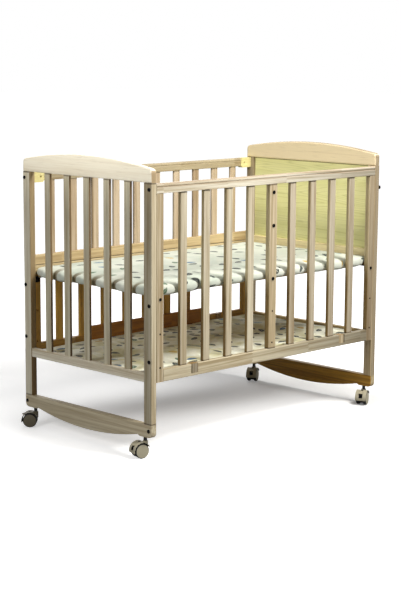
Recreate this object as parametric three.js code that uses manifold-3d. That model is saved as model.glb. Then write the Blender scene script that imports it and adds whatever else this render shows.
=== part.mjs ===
// Rocking crib of unpainted pine: two arched ends on rocker boards, a slatted front, a fixed lower
// back frame with a fold-down gate above it, a mattress level, a storage level and four twin-wheel casters.
// Millimetres. X runs along the crib from the slatted end to the panelled end, Y from the front to the
// back, Z up. The origin is the centre of the footprint, on the floor.
import * as THREE from 'three';
import { mergeVertices } from 'three/addons/utils/BufferGeometryUtils.js';
import Module from 'manifold-3d';

const wasm = await Module();
wasm.setup();

// Overall size
const CRIB_LENGTH = 1060;
const CRIB_WIDTH = 600;
const FIT_GAP = 0.3; // clearance between two pieces that touch

// Heights above the floor
const ROCKER_UNDERSIDE = 64;
const POST_BOTTOM = 104;
const POST_TOP = 830;
const HEADRAIL_END_HEIGHT = 43;
const HEADRAIL_RISE = 24; // the crown stands this much above its ends
const ROCKER_BOW_LOW = 41;
const RAIL_LOW = 232;
const SIDE_RAIL_HEIGHT = 38;
const END_RAIL_HEIGHT = 28;
const TOP_RAIL_HEIGHT = 30;
const TOP_RAIL_DROP = 2; // top rails end this far below the headrail seam

// End frames
const END_THICKNESS = 22;
const POST_WIDTH = 34;
const POST_ROUNDING = 3;
const HEADRAIL_ROUNDING = 4.5;
const HEADRAIL_CORNER = 14;
const END_SLATS = 5;
const PANEL_THICKNESS = 5;
const PANEL_SETBACK = 10.5; // from the inner face of the end frame to the panel
const GROOVE_DEPTH = 7;
const MID_RAIL_ABOVE_PLATFORM = 13;
const MID_RAIL_HEIGHT = 40;
const ROCKER_BLOCK_LENGTH = 54;
const ROCKER_STEP = 8;
const ROCKER_STEP_HEIGHT = 4;
const ROCKER_CORNER = 14;

// Long sides
const SIDE_THICKNESS = 18;
const FRONT_STILE_WIDTH = 28;
const BACK_STILE_WIDTH = 32;
const CENTRE_UPRIGHT_WIDTH = 34;
const SLAT_WIDTH = 28;
const SLAT_THICKNESS = 10;
const FRONT_SLAT_THICKNESS = 13;
const SLAT_ROUNDING = 3;
const LAST_SLAT_FROM_STILE = 87.7; // to the middle of the slat
const SLATS_PER_HALF = 4;
const TENON = 10; // how far a slat reaches into the rail
const JOINT_SETBACK = 0.4; // a rail is this much thinner than the stile it is glued into
const RAIL_GROOVE_BELOW_TOP = 10;
const RAIL_GROOVE = 2;
const RAIL_TOP_ROUNDING = 5;

// Gate
const LOWER_FRAME_ABOVE_PLATFORM = 34; // so that the gate opens level with the mattress top
const GATE_GAP = 2;
const GATE_RAIL_HEIGHT = 32;
const END_SLAT_FROM_BLOCK = 34.7;
const GATE_SLATS = 10;
const GATE_SIDE_GAP = 3;
const LOWER_TOP_RAIL_HEIGHT = 30;
const BLOCK_LENGTH = 50;
const BLOCK_HEIGHT = 35;
const BLOCK_PROUD = 3;
const BLOCK_CHAMFER = 7;
const LATCH_RADIUS = 3;
const LATCH_LENGTH = 46;
const LATCH_TRAVEL = 10;
const LATCH_CLEARANCE = 0.3;
const LATCH_ABOVE_RAIL_LOW = 14.5;
const NUT_FROM_BLOCK_END = 15;
const NUT_HOLE_DEPTH = 9;
const KNOB_POST_RADIUS = 2.4;
const KNOB_RADIUS = 6;
const KNOB_STAND = 5;
const KNOB_THICKNESS = 4;
const KNOB_FROM_TIP = 30;
const HINGE_FROM_END = 208;
const HINGE_LENGTH = 60;
const HINGE_LEAF_HEIGHT = 24;
const HINGE_LEAF = 1.5;
const HINGE_BARREL = 3.4;
const HINGE_PIN = 1.7;
const HINGE_PIN_CLEARANCE = 0.25;
const HINGE_AXIS_OUT = 4; // from the back face to the hinge axis

// Bolts and spare holes
const HOLE_RADIUS = 3.5;
const BOLT_HEAD_RADIUS = 5;
const BOLT_HEAD_DEPTH = 4;
const BOLT_CLEARANCE = 0.6;
const POST_BOLTS_BELOW_TOP = 19;
const POST_BOLTS_BELOW_PLATFORM = 25;
const POST_BOLTS_ABOVE_RAIL = 65;
const LEVEL_BOLT_BELOW_PLATFORM = 8;
const LEVEL_STEPS = [0, 105, 207]; // the sleeping level can be bolted this much lower
const UPRIGHT_BOLTS_BELOW_TOP = [58, 164];
const CENTRE_HOLES_HIGHER = 13; // than those of the stiles

// Sleeping level
const BRACKET_WIDTH = 22;
const BRACKET_STEEL = 2;
const BRACKET_DROP = 20;
const BRACKET_REACH = 30;
const PLATFORM_UNDERSIDE = 491;
const PLATFORM_BOARD = 9;
const PLATFORM_INSET = 12;
const MATTRESS_THICKNESS = 30;
const MATTRESS_FRONT_BULGE = 9; // how far it swells between the slats
const MATTRESS_LEFT_BULGE = 12;
const MATTRESS_EDGE_GAP = 1;
const MATTRESS_CROWN = 6;
const MATTRESS_CREASE = 3;
const PAD_OPEN_BAY = 40; // narrowest gap that a pad swells into
const PAD_SWELL_RUN = 28;

// Storage level
const CROSS_BAR_FROM_END = 160; // from the inner face of an end frame
const CROSS_BAR_WIDTH = 24;
const CROSS_BAR_THICKNESS = 9;
const CROSS_BAR_SHOULDER = 4; // how far its thick ends reach inside the rails
const NOTCH_WIDTH = 28;
const NOTCH_FLOOR = 9; // wood left under each notch
const STORAGE_BOARD = 4;
const STORAGE_PAD = 7;
const STORAGE_PAD_CROWN = 5;
const STORAGE_PAD_CREASE = 2;
const STORAGE_PAD_CURL = 20; // how far its front edge stands up behind the rail
const STORAGE_PAD_CURL_REACH = 30;
const KICK_BOARD_LENGTH = 526;
const KICK_BOARD_THICKNESS = 6;
const KICK_BOARD_HEIGHT = 64;
const KICK_BOARD_RAISED = 4; // above the underside of the rail

// Casters
const CASTER_INSET = 38; // stem axis from the end of the rocker
const WHEEL_RADIUS = 23;
const WHEEL_WIDTH = 10.8;
const WHEEL_INNER = 7.5; // inner face of a wheel from the middle of the caster
const TRAIL = 18; // stem axis to axle
const FENDER_RADIUS = 27.5;
const FENDER_SHELL = 1.8;
const FENDER_WIDTH = 38;
const FENDER_ANGLES = [28, 192]; // degrees up from the stem side to the fender's two ends
const HUB_RADIUS = 18;
const WEB_WIDTH = 12;
const AXLE_RADIUS = 3;
const AXLE_CLEARANCE = 0.3;
const STEM_RADIUS = 5.5;
const STEM_CLEARANCE = 0.4;
const STEM_IN_ROCKER = 26;
const BOSS_RADIUS = 8.5;
const BOSS_TOP = 51;
const LEVER_PIVOT = [-4, 20]; // from the axle, back and up
const LEVER_PIN_RADIUS = 1.5;
const LEVER_CLEARANCE = 0.4;
const NECK_WIDTH = 8;
const NECK_ROOM_DEPTH = 10; // clear space below the lever's pivot
const NECK_ROOM_FRONT = 5;
const PEDAL_WIDTH = 12;
const PEDAL_FROM_PIVOT = 7;
const PEDAL_ROOM_DEPTH = 17;
const CASTER_HEADINGS = { left_front: 164, left_back: 135, right_front: 205, right_back: 209 };

// Worked-out places
const END_X = CRIB_LENGTH / 2;
const SIDE_Y = CRIB_WIDTH / 2;
const INNER_X = END_X - END_THICKNESS;
const MID_END_X = END_X - END_THICKNESS / 2;
const POST_Y = SIDE_Y - POST_WIDTH;
const INNER_Y = SIDE_Y - SIDE_THICKNESS;
const MID_SIDE_Y = SIDE_Y - SIDE_THICKNESS / 2;
const RAIL_HALF = INNER_X - FIT_GAP;
const TOP_RAIL_TOP = POST_TOP - TOP_RAIL_DROP;
const TOP_RAIL_LOW = TOP_RAIL_TOP - TOP_RAIL_HEIGHT;
const SIDE_RAIL_TOP = RAIL_LOW + SIDE_RAIL_HEIGHT;
const END_RAIL_TOP = RAIL_LOW + END_RAIL_HEIGHT;
const MID_RAIL_LOW = PLATFORM_UNDERSIDE + MID_RAIL_ABOVE_PLATFORM;
const MID_RAIL_TOP = MID_RAIL_LOW + MID_RAIL_HEIGHT;
const POST_BOLT_HEIGHTS = [POST_TOP - POST_BOLTS_BELOW_TOP, PLATFORM_UNDERSIDE - POST_BOLTS_BELOW_PLATFORM,
  RAIL_LOW + POST_BOLTS_ABOVE_RAIL];
const LEVEL_HEIGHTS = LEVEL_STEPS.map((step) => PLATFORM_UNDERSIDE - LEVEL_BOLT_BELOW_PLATFORM - step);
const UPRIGHT_BOLT_HEIGHTS = UPRIGHT_BOLTS_BELOW_TOP.map((drop) => POST_TOP - drop);
const FRONT_STILE_X = RAIL_HALF - FRONT_STILE_WIDTH / 2;
const BACK_STILE_X = RAIL_HALF - BACK_STILE_WIDTH / 2;
const END_SLAT_PITCH = (2 * POST_Y + SLAT_WIDTH) / (END_SLATS + 1);
const SLAT_PITCH = (RAIL_HALF - FRONT_STILE_WIDTH - LAST_SLAT_FROM_STILE) / SLATS_PER_HALF;
const CROSS_BAR_X = INNER_X - CROSS_BAR_FROM_END;
const HINGE_X = INNER_X - HINGE_FROM_END;
const LOWER_FRAME_TOP = PLATFORM_UNDERSIDE + LOWER_FRAME_ABOVE_PLATFORM;
const GATE_LOW = LOWER_FRAME_TOP + GATE_GAP;
const GATE_RAIL_TOP = GATE_LOW + GATE_RAIL_HEIGHT;
const BLOCK_INNER_X = RAIL_HALF - BLOCK_LENGTH;
const GATE_TOP_HALF = BLOCK_INNER_X - FIT_GAP;
const GATE_SLAT_PITCH = 2 * (BLOCK_INNER_X - END_SLAT_FROM_BLOCK) / (GATE_SLATS - 1);
const LATCH_Z = TOP_RAIL_LOW + LATCH_ABOVE_RAIL_LOW;
const HINGE_Y = SIDE_Y + HINGE_AXIS_OUT;
const HINGE_Z = LOWER_FRAME_TOP + GATE_GAP / 2;
const NOTCH_LOW = RAIL_LOW + NOTCH_FLOOR;
const KICK_BOARD_LOW = RAIL_LOW + KICK_BOARD_RAISED;
const STORAGE_BOARD_LOW = RAIL_LOW + CROSS_BAR_THICKNESS + FIT_GAP;
const CASTER_Y = SIDE_Y - CASTER_INSET;

const pine = (color) => new THREE.MeshStandardMaterial({ color, roughness: 0.62, metalness: 0 });
const PALE_PINE = pine(0xdcc9a4);
const WARM_PINE = pine(0xcfb084);
const BLOCK_PINE = pine(0xe2d093);
const PANEL_WOOD = pine(0xd9d79a);
const FABRIC = new THREE.MeshStandardMaterial({ color: 0xdfe6da, roughness: 0.95, metalness: 0 });
const BLACK_STEEL = new THREE.MeshStandardMaterial({ color: 0x1c1a18, roughness: 0.45, metalness: 0.6 });
const ZINC = new THREE.MeshStandardMaterial({ color: 0xb9b9b4, roughness: 0.35, metalness: 0.9 });
const BEIGE_PLASTIC = new THREE.MeshStandardMaterial({ color: 0xb5ab96, roughness: 0.5, metalness: 0 });

// Solids

function toSolid(geometry) {
  const bare = geometry.index ? geometry.toNonIndexed() : geometry.clone();
  bare.deleteAttribute('normal');
  if (bare.attributes.uv) {
    bare.deleteAttribute('uv');
  }
  const merged = mergeVertices(bare, 1e-4);
  return new wasm.Manifold(new wasm.Mesh({
    numProp: 3,
    vertProperties: new Float32Array(merged.attributes.position.array),
    triVerts: new Uint32Array(merged.index.array),
  }));
}

function toGeometry(solid) {
  const { vertProperties, triVerts } = solid.getMesh();
  const geometry = new THREE.BufferGeometry();
  geometry.setAttribute('position', new THREE.BufferAttribute(new Float32Array(vertProperties), 3));
  geometry.setIndex(new THREE.BufferAttribute(new Uint32Array(triVerts), 1));
  geometry.computeVertexNormals();
  return geometry;
}

const join = (...geometries) => toGeometry(geometries.map(toSolid).reduce((all, next) => all.add(next)));

const cut = (base, ...tools) =>
  toGeometry(tools.map(toSolid).reduce((rest, tool) => rest.subtract(tool), toSolid(base)));

// A block given by its low and high corners
function block([x0, y0, z0], [x1, y1, z1]) {
  const geometry = new THREE.BoxGeometry(x1 - x0, y1 - y0, z1 - z0);
  return geometry.translate((x0 + x1) / 2, (y0 + y1) / 2, (z0 + z1) / 2);
}

// A cylinder from one point to another
function rod(from, to, radius, segments = 12) {
  const start = new THREE.Vector3(...from);
  const along = new THREE.Vector3(...to).sub(start);
  const geometry = new THREE.CylinderGeometry(radius, radius, along.length(), segments);
  geometry.translate(0, along.length() / 2, 0);
  geometry.applyQuaternion(new THREE.Quaternion().setFromUnitVectors(
    new THREE.Vector3(0, 1, 0), along.clone().normalize()));
  return geometry.translate(...from);
}

// Points along an arc, angles in radians
function arc(centreX, centreY, radius, from, to, steps) {
  return Array.from({ length: steps + 1 }, (_, k) => {
    const angle = from + (to - from) * k / steps;
    return new THREE.Vector2(centreX + radius * Math.cos(angle), centreY + radius * Math.sin(angle));
  });
}

const QUARTER = Math.PI / 2;

function roundedSection(width, height, radius, steps = 2) {
  const [w, h] = [width / 2 - radius, height / 2 - radius];
  return new THREE.Shape([
    ...arc(w, h, radius, 0, QUARTER, steps),
    ...arc(-w, h, radius, QUARTER, 2 * QUARTER, steps),
    ...arc(-w, -h, radius, 2 * QUARTER, 3 * QUARTER, steps),
    ...arc(w, -h, radius, 3 * QUARTER, 4 * QUARTER, steps),
  ]);
}

// A section drawn across its run and pushed along X, Y or Z. The drawn axes are Y and Z along X, minus X
// and Z along Y, and X and Y along Z.
function extrudeAlong(axis, shape, from, to) {
  const geometry = new THREE.ExtrudeGeometry(shape, { depth: to - from, bevelEnabled: false });
  geometry.translate(0, 0, from);
  const turn = {
    x: new THREE.Matrix4().makeBasis(
      new THREE.Vector3(0, 1, 0), new THREE.Vector3(0, 0, 1), new THREE.Vector3(1, 0, 0)),
    y: new THREE.Matrix4().makeBasis(
      new THREE.Vector3(-1, 0, 0), new THREE.Vector3(0, 0, 1), new THREE.Vector3(0, 1, 0)),
    z: new THREE.Matrix4(),
  }[axis];
  return geometry.applyMatrix4(turn);
}

// An outline in Y and Z with softly rounded edges, centred on X
function edgedBoard(shape, thickness, rounding, segments) {
  const geometry = new THREE.ExtrudeGeometry(shape, {
    depth: thickness - 2 * rounding,
    bevelEnabled: true,
    bevelThickness: rounding,
    bevelSize: rounding,
    bevelOffset: -rounding,
    bevelSegments: segments,
  });
  geometry.translate(0, 0, rounding - thickness / 2);
  return geometry.applyMatrix4(new THREE.Matrix4().makeBasis(
    new THREE.Vector3(0, 1, 0), new THREE.Vector3(0, 0, 1), new THREE.Vector3(1, 0, 0)));
}

const model = new THREE.Group();

function add(name, geometry, material, parent = model) {
  const mesh = new THREE.Mesh(geometry, material);
  mesh.name = name;
  parent.add(mesh);
  return mesh;
}

// Slats and mortises

// A slat standing between two rails of a long side, with a tenon at each end that asks for one
function sideSlat(x, y, low, high) {
  return extrudeAlong('z', roundedSection(SLAT_WIDTH, SLAT_THICKNESS, SLAT_ROUNDING), low, high)
    .translate(x, y, 0);
}

// A front slat is thicker than the others, with its front face in line with theirs and a thinner tenon
// at each end
function frontSlat(x) {
  const tenons = sideSlat(x, -MID_SIDE_Y, SIDE_RAIL_TOP - TENON, TOP_RAIL_LOW + TENON);
  const body = extrudeAlong('z', roundedSection(SLAT_WIDTH, FRONT_SLAT_THICKNESS, SLAT_ROUNDING),
    SIDE_RAIL_TOP + FIT_GAP, TOP_RAIL_LOW - FIT_GAP)
    .translate(x, -MID_SIDE_Y - SLAT_THICKNESS / 2 + FRONT_SLAT_THICKNESS / 2, 0);
  return join(tenons, body);
}

// The pocket in a rail for the end of a slat or upright
function mortise(x, y, low, high, width, thickness) {
  const [w, t] = [width / 2 + FIT_GAP, thickness / 2 + FIT_GAP];
  return block([x - w, y - t, low], [x + w, y + t, high]);
}

const sideSlatPlaces = [];
for (let k = 1; k <= SLATS_PER_HALF; k++) {
  sideSlatPlaces.unshift(-k * SLAT_PITCH);
  sideSlatPlaces.push(k * SLAT_PITCH);
}

const gateSlatPlaces = Array.from({ length: GATE_SLATS },
  (_, k) => (k - (GATE_SLATS - 1) / 2) * GATE_SLAT_PITCH);

const endSlatPlaces = Array.from({ length: END_SLATS },
  (_, k) => (k - (END_SLATS - 1) / 2) * END_SLAT_PITCH);

// Rails

// The section of a top rail: rounded over at the top, with a groove along each face
function topRailSection() {
  const [w, h] = [SIDE_THICKNESS / 2, TOP_RAIL_HEIGHT];
  const groove = h - RAIL_GROOVE_BELOW_TOP;
  const shoulder = h - RAIL_TOP_ROUNDING;
  const point = (x, z) => new THREE.Vector2(x, z);
  return new THREE.Shape([
    point(-w + 1, 0), point(w - 1, 0), point(w, 1),
    point(w, groove - RAIL_GROOVE), point(w - RAIL_GROOVE, groove), point(w, groove + RAIL_GROOVE),
    ...arc(w - RAIL_TOP_ROUNDING, shoulder, RAIL_TOP_ROUNDING, 0, QUARTER, 4),
    ...arc(-w + RAIL_TOP_ROUNDING, shoulder, RAIL_TOP_ROUNDING, QUARTER, 2 * QUARTER, 4),
    point(-w, groove + RAIL_GROOVE), point(-w + RAIL_GROOVE, groove), point(-w, groove - RAIL_GROOVE),
    point(-w, 1),
  ]);
}

function topRail(halfLength, y) {
  return extrudeAlong('x', topRailSection(), -halfLength, halfLength).translate(0, y, TOP_RAIL_LOW);
}

// A plain rail along X with rounded edges
function sideRail(halfLength, y, low, high, thickness = SIDE_THICKNESS) {
  return extrudeAlong('x', roundedSection(thickness, high - low, 2), -halfLength, halfLength)
    .translate(0, y, (low + high) / 2);
}

// An upright of a long side with spare holes through it at each mattress height
function boredUpright(x, y, width, low, high, heights, thickness = SIDE_THICKNESS) {
  const stick = extrudeAlong('z', roundedSection(width, thickness, 2), low, high).translate(x, y, 0);
  const bores = heights.map((z) => rod(
    [x, y - SIDE_THICKNESS, z], [x, y + SIDE_THICKNESS, z], HOLE_RADIUS, 8));
  return cut(stick, ...bores);
}

// The post bolts sit in shallow round sockets on the outer face
function post(side, y) {
  const stick = extrudeAlong('z',
    roundedSection(END_THICKNESS, POST_WIDTH, POST_ROUNDING, 3), POST_BOTTOM + FIT_GAP, POST_TOP)
    .translate(side * MID_END_X, y, 0);
  const boltY = Math.sign(y) * MID_SIDE_Y;
  const sockets = POST_BOLT_HEIGHTS.map((z) => rod(
    [side * (END_X - BOLT_HEAD_DEPTH), boltY, z], [side * (END_X + 1), boltY, z], BOLT_HEAD_RADIUS, 10));
  return cut(stick, ...sockets);
}

// End frames

// An arched headrail: straight underside, gently bowed top, softly rounded all round
function headrail() {
  const halfSpan = SIDE_Y - HEADRAIL_CORNER;
  const rise = HEADRAIL_RISE;
  const radius = (halfSpan ** 2 + rise ** 2) / (2 * rise);
  const sweep = Math.asin(halfSpan / radius);
  const low = POST_TOP + FIT_GAP;
  const endTop = POST_TOP + HEADRAIL_END_HEIGHT;
  const cornerZ = endTop - HEADRAIL_CORNER;
  const shape = new THREE.Shape([
    new THREE.Vector2(-SIDE_Y, low), new THREE.Vector2(SIDE_Y, low),
    ...arc(halfSpan, cornerZ, HEADRAIL_CORNER, 0, QUARTER - sweep, 5),
    ...arc(0, endTop + rise - radius, radius, QUARTER - sweep, QUARTER + sweep, 18).slice(1, -1),
    ...arc(-halfSpan, cornerZ, HEADRAIL_CORNER, QUARTER + sweep, 2 * QUARTER, 5),
  ]);
  return edgedBoard(shape, END_THICKNESS, HEADRAIL_ROUNDING, 2);
}

// A rocker board: flat block under each post, bowed lower edge between them
function rocker() {
  const blockIn = SIDE_Y - ROCKER_BLOCK_LENGTH;
  const bowEnd = blockIn - ROCKER_STEP;
  const rise = ROCKER_UNDERSIDE + ROCKER_STEP_HEIGHT - ROCKER_BOW_LOW;
  const radius = (bowEnd ** 2 + rise ** 2) / (2 * rise);
  const sweep = Math.asin(bowEnd / radius);
  const [cornerY, cornerZ] = [SIDE_Y - ROCKER_CORNER, ROCKER_UNDERSIDE + ROCKER_CORNER];
  const shape = new THREE.Shape([
    new THREE.Vector2(SIDE_Y, POST_BOTTOM), new THREE.Vector2(-SIDE_Y, POST_BOTTOM),
    ...arc(-cornerY, cornerZ, ROCKER_CORNER, 2 * QUARTER, 3 * QUARTER, 5),
    new THREE.Vector2(-blockIn, ROCKER_UNDERSIDE),
    ...arc(0, ROCKER_BOW_LOW + radius, radius, 3 * QUARTER - sweep, 3 * QUARTER + sweep, 18),
    new THREE.Vector2(blockIn, ROCKER_UNDERSIDE),
    ...arc(cornerY, cornerZ, ROCKER_CORNER, 3 * QUARTER, 4 * QUARTER, 5),
  ]);
  const board = edgedBoard(shape, END_THICKNESS, 1.5, 1);
  const socketTop = ROCKER_UNDERSIDE + STEM_IN_ROCKER + 2;
  const sockets = [-CASTER_Y, CASTER_Y].map((y) => rod(
    [0, y, ROCKER_UNDERSIDE - 1], [0, y, socketTop], STEM_RADIUS + STEM_CLEARANCE));
  return cut(board, ...sockets);
}

// A rail between the two posts of an end frame
function endRail(side, low, high) {
  const half = POST_Y - FIT_GAP;
  return extrudeAlong('y', roundedSection(SIDE_THICKNESS, high - low, 2), -half, half)
    .translate(side * MID_END_X, 0, (low + high) / 2);
}

function endSlatMortise(y, low, high) {
  const [w, t] = [SLAT_WIDTH / 2 + FIT_GAP, SLAT_THICKNESS / 2 + FIT_GAP];
  return block([-t, y - w, low], [t, y + w, high]);
}

function slattedEnd() {
  const side = -1;
  add('left_post_front', post(side, -SIDE_Y + POST_WIDTH / 2), PALE_PINE);
  add('left_post_back', post(side, SIDE_Y - POST_WIDTH / 2), PALE_PINE);
  const pockets = endSlatPlaces.map((y) => endSlatMortise(y, POST_TOP, POST_TOP + TENON + FIT_GAP));
  add('left_headrail', cut(headrail(), ...pockets).translate(side * MID_END_X, 0, 0), PALE_PINE);
  const slats = endSlatPlaces.map((y) => extrudeAlong('z',
    roundedSection(SLAT_THICKNESS, SLAT_WIDTH, SLAT_ROUNDING), END_RAIL_TOP - TENON, POST_TOP + TENON)
    .translate(side * MID_END_X, y, 0));
  add('left_bottom_rail_and_slats', join(endRail(side, RAIL_LOW, END_RAIL_TOP), ...slats), PALE_PINE);
  add('left_rocker', rocker().translate(side * MID_END_X, 0, 0), PALE_PINE);
}

function panelledEnd() {
  const side = 1;
  const panelX = INNER_X + PANEL_SETBACK;
  const [edge, deep] = [FIT_GAP / 2, GROOVE_DEPTH];
  const groove = block([panelX - edge, -POST_Y - deep, MID_RAIL_TOP - deep],
    [panelX + PANEL_THICKNESS + edge, POST_Y + deep, POST_TOP + deep]);
  const seat = deep - FIT_GAP;
  const frontPost = post(side, -SIDE_Y + POST_WIDTH / 2);
  const backPost = post(side, SIDE_Y - POST_WIDTH / 2);
  add('right_post_front', cut(frontPost, groove), PALE_PINE);
  add('right_post_back', cut(backPost, groove), PALE_PINE);
  add('right_headrail', cut(headrail().translate(side * MID_END_X, 0, 0), groove), PALE_PINE);
  add('right_mid_rail', cut(endRail(side, MID_RAIL_LOW, MID_RAIL_TOP), groove), WARM_PINE);
  add('right_panel', block([panelX, -POST_Y - seat, MID_RAIL_TOP - seat],
    [panelX + PANEL_THICKNESS, POST_Y + seat, POST_TOP + seat]), PANEL_WOOD);
  add('right_bottom_rail', endRail(side, RAIL_LOW, END_RAIL_TOP), WARM_PINE);
  add('right_rocker', rocker().translate(side * MID_END_X, 0, 0), PALE_PINE);
}

// Front side

function notch(x, y) {
  const w = NOTCH_WIDTH / 2 + FIT_GAP;
  return block([x - w, y - SIDE_THICKNESS, NOTCH_LOW], [x + w, y + SIDE_THICKNESS, SIDE_RAIL_TOP + 1]);
}

function frontSide() {
  const y = -MID_SIDE_Y;
  const slatPockets = (low, high) => sideSlatPlaces.map(
    (x) => mortise(x, y, low, high, SLAT_WIDTH, SLAT_THICKNESS));
  add('front_top_rail', cut(topRail(RAIL_HALF, y),
    ...slatPockets(TOP_RAIL_LOW - 1, TOP_RAIL_LOW + TENON + FIT_GAP)), PALE_PINE);
  const halfSpan = FRONT_STILE_X - FRONT_STILE_WIDTH / 2 - FIT_GAP;
  add('front_bottom_rail', cut(sideRail(halfSpan, y, RAIL_LOW, SIDE_RAIL_TOP),
    ...slatPockets(SIDE_RAIL_TOP - TENON - FIT_GAP, SIDE_RAIL_TOP + 1),
    notch(-CROSS_BAR_X, y), notch(CROSS_BAR_X, y)), PALE_PINE);
  const uprightTop = TOP_RAIL_LOW - FIT_GAP;
  for (const [name, side] of [['left', -1], ['right', 1]]) {
    add(`front_stile_${name}`, boredUpright(side * FRONT_STILE_X, y, FRONT_STILE_WIDTH,
      RAIL_LOW, uprightTop, LEVEL_HEIGHTS), PALE_PINE);
  }
  const centreLevels = LEVEL_HEIGHTS.map((z) => z + CENTRE_HOLES_HIGHER);
  add('front_centre_upright', boredUpright(0, y, CENTRE_UPRIGHT_WIDTH,
    SIDE_RAIL_TOP + FIT_GAP, uprightTop, [...centreLevels, ...UPRIGHT_BOLT_HEIGHTS]), PALE_PINE);
  sideSlatPlaces.forEach((x, k) => {
    add(`front_slat_${k + 1}`, frontSlat(x), PALE_PINE);
  });
}

// Back side

function backLowerFrame() {
  const y = MID_SIDE_Y;
  const low = LOWER_FRAME_TOP - LOWER_TOP_RAIL_HEIGHT;
  const pockets = sideSlatPlaces.map((x) => mortise(
    x, y, low - 1, low + TENON + FIT_GAP, SLAT_WIDTH, SLAT_THICKNESS));
  add('back_lower_top_rail', cut(sideRail(RAIL_HALF, y, low, LOWER_FRAME_TOP), ...pockets), WARM_PINE);
  const under = low - FIT_GAP;
  const thin = SIDE_THICKNESS - JOINT_SETBACK;
  const bottomRail = cut(sideRail(BACK_STILE_X, y, RAIL_LOW, SIDE_RAIL_TOP, thin),
    notch(-CROSS_BAR_X, y), notch(CROSS_BAR_X, y));
  const levels = LEVEL_HEIGHTS.filter((z) => z < under);
  const stiles = [-BACK_STILE_X, BACK_STILE_X].map((x) => boredUpright(
    x, y, BACK_STILE_WIDTH, RAIL_LOW - JOINT_SETBACK, under, levels));
  const centre = boredUpright(0, y, CENTRE_UPRIGHT_WIDTH, SIDE_RAIL_TOP - TENON, under, levels,
    thin - JOINT_SETBACK);
  const slats = sideSlatPlaces.map((x) => sideSlat(x, y, SIDE_RAIL_TOP - TENON, low + TENON));
  add('back_lower_rail_and_slats', join(bottomRail, ...stiles, centre, ...slats), WARM_PINE);
  const boardY = INNER_Y - FIT_GAP - KICK_BOARD_THICKNESS;
  add('back_inner_board', block([-KICK_BOARD_LENGTH / 2, boardY, KICK_BOARD_LOW],
    [KICK_BOARD_LENGTH / 2, INNER_Y - FIT_GAP, KICK_BOARD_LOW + KICK_BOARD_HEIGHT]), WARM_PINE);
}

// The wooden block bolted to each back post in line with the gate's top rail. The bolt's barrel nut sits
// in a round hole in its inner face.
function endBlock(side) {
  const inner = INNER_Y - BLOCK_PROUD;
  const corners = [
    [BLOCK_INNER_X, TOP_RAIL_TOP],
    [RAIL_HALF, TOP_RAIL_TOP],
    [RAIL_HALF, TOP_RAIL_TOP - BLOCK_HEIGHT],
    [BLOCK_INNER_X + BLOCK_CHAMFER, TOP_RAIL_TOP - BLOCK_HEIGHT],
    [BLOCK_INNER_X, TOP_RAIL_TOP - BLOCK_HEIGHT + BLOCK_CHAMFER],
  ];
  const shape = new THREE.Shape(corners.map(([x, z]) => new THREE.Vector2(-side * x, z)));
  const latchBore = rod([side * (BLOCK_INNER_X - 1), MID_SIDE_Y, LATCH_Z],
    [side * (BLOCK_INNER_X + LATCH_TRAVEL), MID_SIDE_Y, LATCH_Z], LATCH_RADIUS + LATCH_CLEARANCE);
  const nutX = side * (BLOCK_INNER_X + NUT_FROM_BLOCK_END);
  const nutHole = rod([nutX, inner - 1, POST_BOLT_HEIGHTS[0]], [nutX, inner + NUT_HOLE_DEPTH,
    POST_BOLT_HEIGHTS[0]], HOLE_RADIUS, 10);
  return cut(extrudeAlong('y', shape, inner, SIDE_Y), latchBore, nutHole);
}

function latchPin(side) {
  const tip = GATE_TOP_HALF - 1;
  const knobX = side * (tip - KNOB_FROM_TIP);
  const capStart = SIDE_Y + KNOB_STAND;
  return join(
    rod([side * (tip - LATCH_LENGTH), MID_SIDE_Y, LATCH_Z], [side * tip, MID_SIDE_Y, LATCH_Z],
      LATCH_RADIUS),
    rod([knobX, MID_SIDE_Y, LATCH_Z], [knobX, capStart + 1, LATCH_Z], KNOB_POST_RADIUS, 10),
    rod([knobX, capStart, LATCH_Z], [knobX, capStart + KNOB_THICKNESS, LATCH_Z], KNOB_RADIUS, 14));
}

function gate() {
  const y = MID_SIDE_Y;
  const pockets = gateSlatPlaces.map((x) => mortise(
    x, y, TOP_RAIL_LOW - 1, TOP_RAIL_LOW + TENON + FIT_GAP, SLAT_WIDTH, SLAT_THICKNESS));
  const boreRadius = LATCH_RADIUS + LATCH_CLEARANCE;
  const tip = GATE_TOP_HALF - 1;
  const bores = [-1, 1].map((side) => rod(
    [side * (GATE_TOP_HALF + 1), y, LATCH_Z],
    [side * (tip - LATCH_LENGTH - 1), y, LATCH_Z], boreRadius));
  const slotEdge = KNOB_POST_RADIUS + LATCH_CLEARANCE;
  const slots = [-1, 1].map((side) => {
    const ends = [tip - KNOB_FROM_TIP - slotEdge, tip - KNOB_FROM_TIP + LATCH_TRAVEL + slotEdge];
    const [near, far] = side < 0 ? [-ends[1], -ends[0]] : ends;
    return block([near, y, LATCH_Z - slotEdge], [far, SIDE_Y + 1, LATCH_Z + slotEdge]);
  });
  add('gate_top_rail', cut(topRail(GATE_TOP_HALF, y), ...pockets, ...bores, ...slots), PALE_PINE);
  const slats = gateSlatPlaces.map((x) => sideSlat(x, y, GATE_RAIL_TOP - TENON, TOP_RAIL_LOW + TENON));
  const rail = sideRail(RAIL_HALF - GATE_SIDE_GAP, y, GATE_LOW, GATE_RAIL_TOP);
  add('gate_bottom_rail_and_slats', join(rail, ...slats), PALE_PINE);
  for (const [name, side] of [['left', -1], ['right', 1]]) {
    add(`gate_end_block_${name}`, endBlock(side), BLOCK_PINE);
    add(`latch_pin_${name}`, latchPin(side), ZINC);
  }
}

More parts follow.
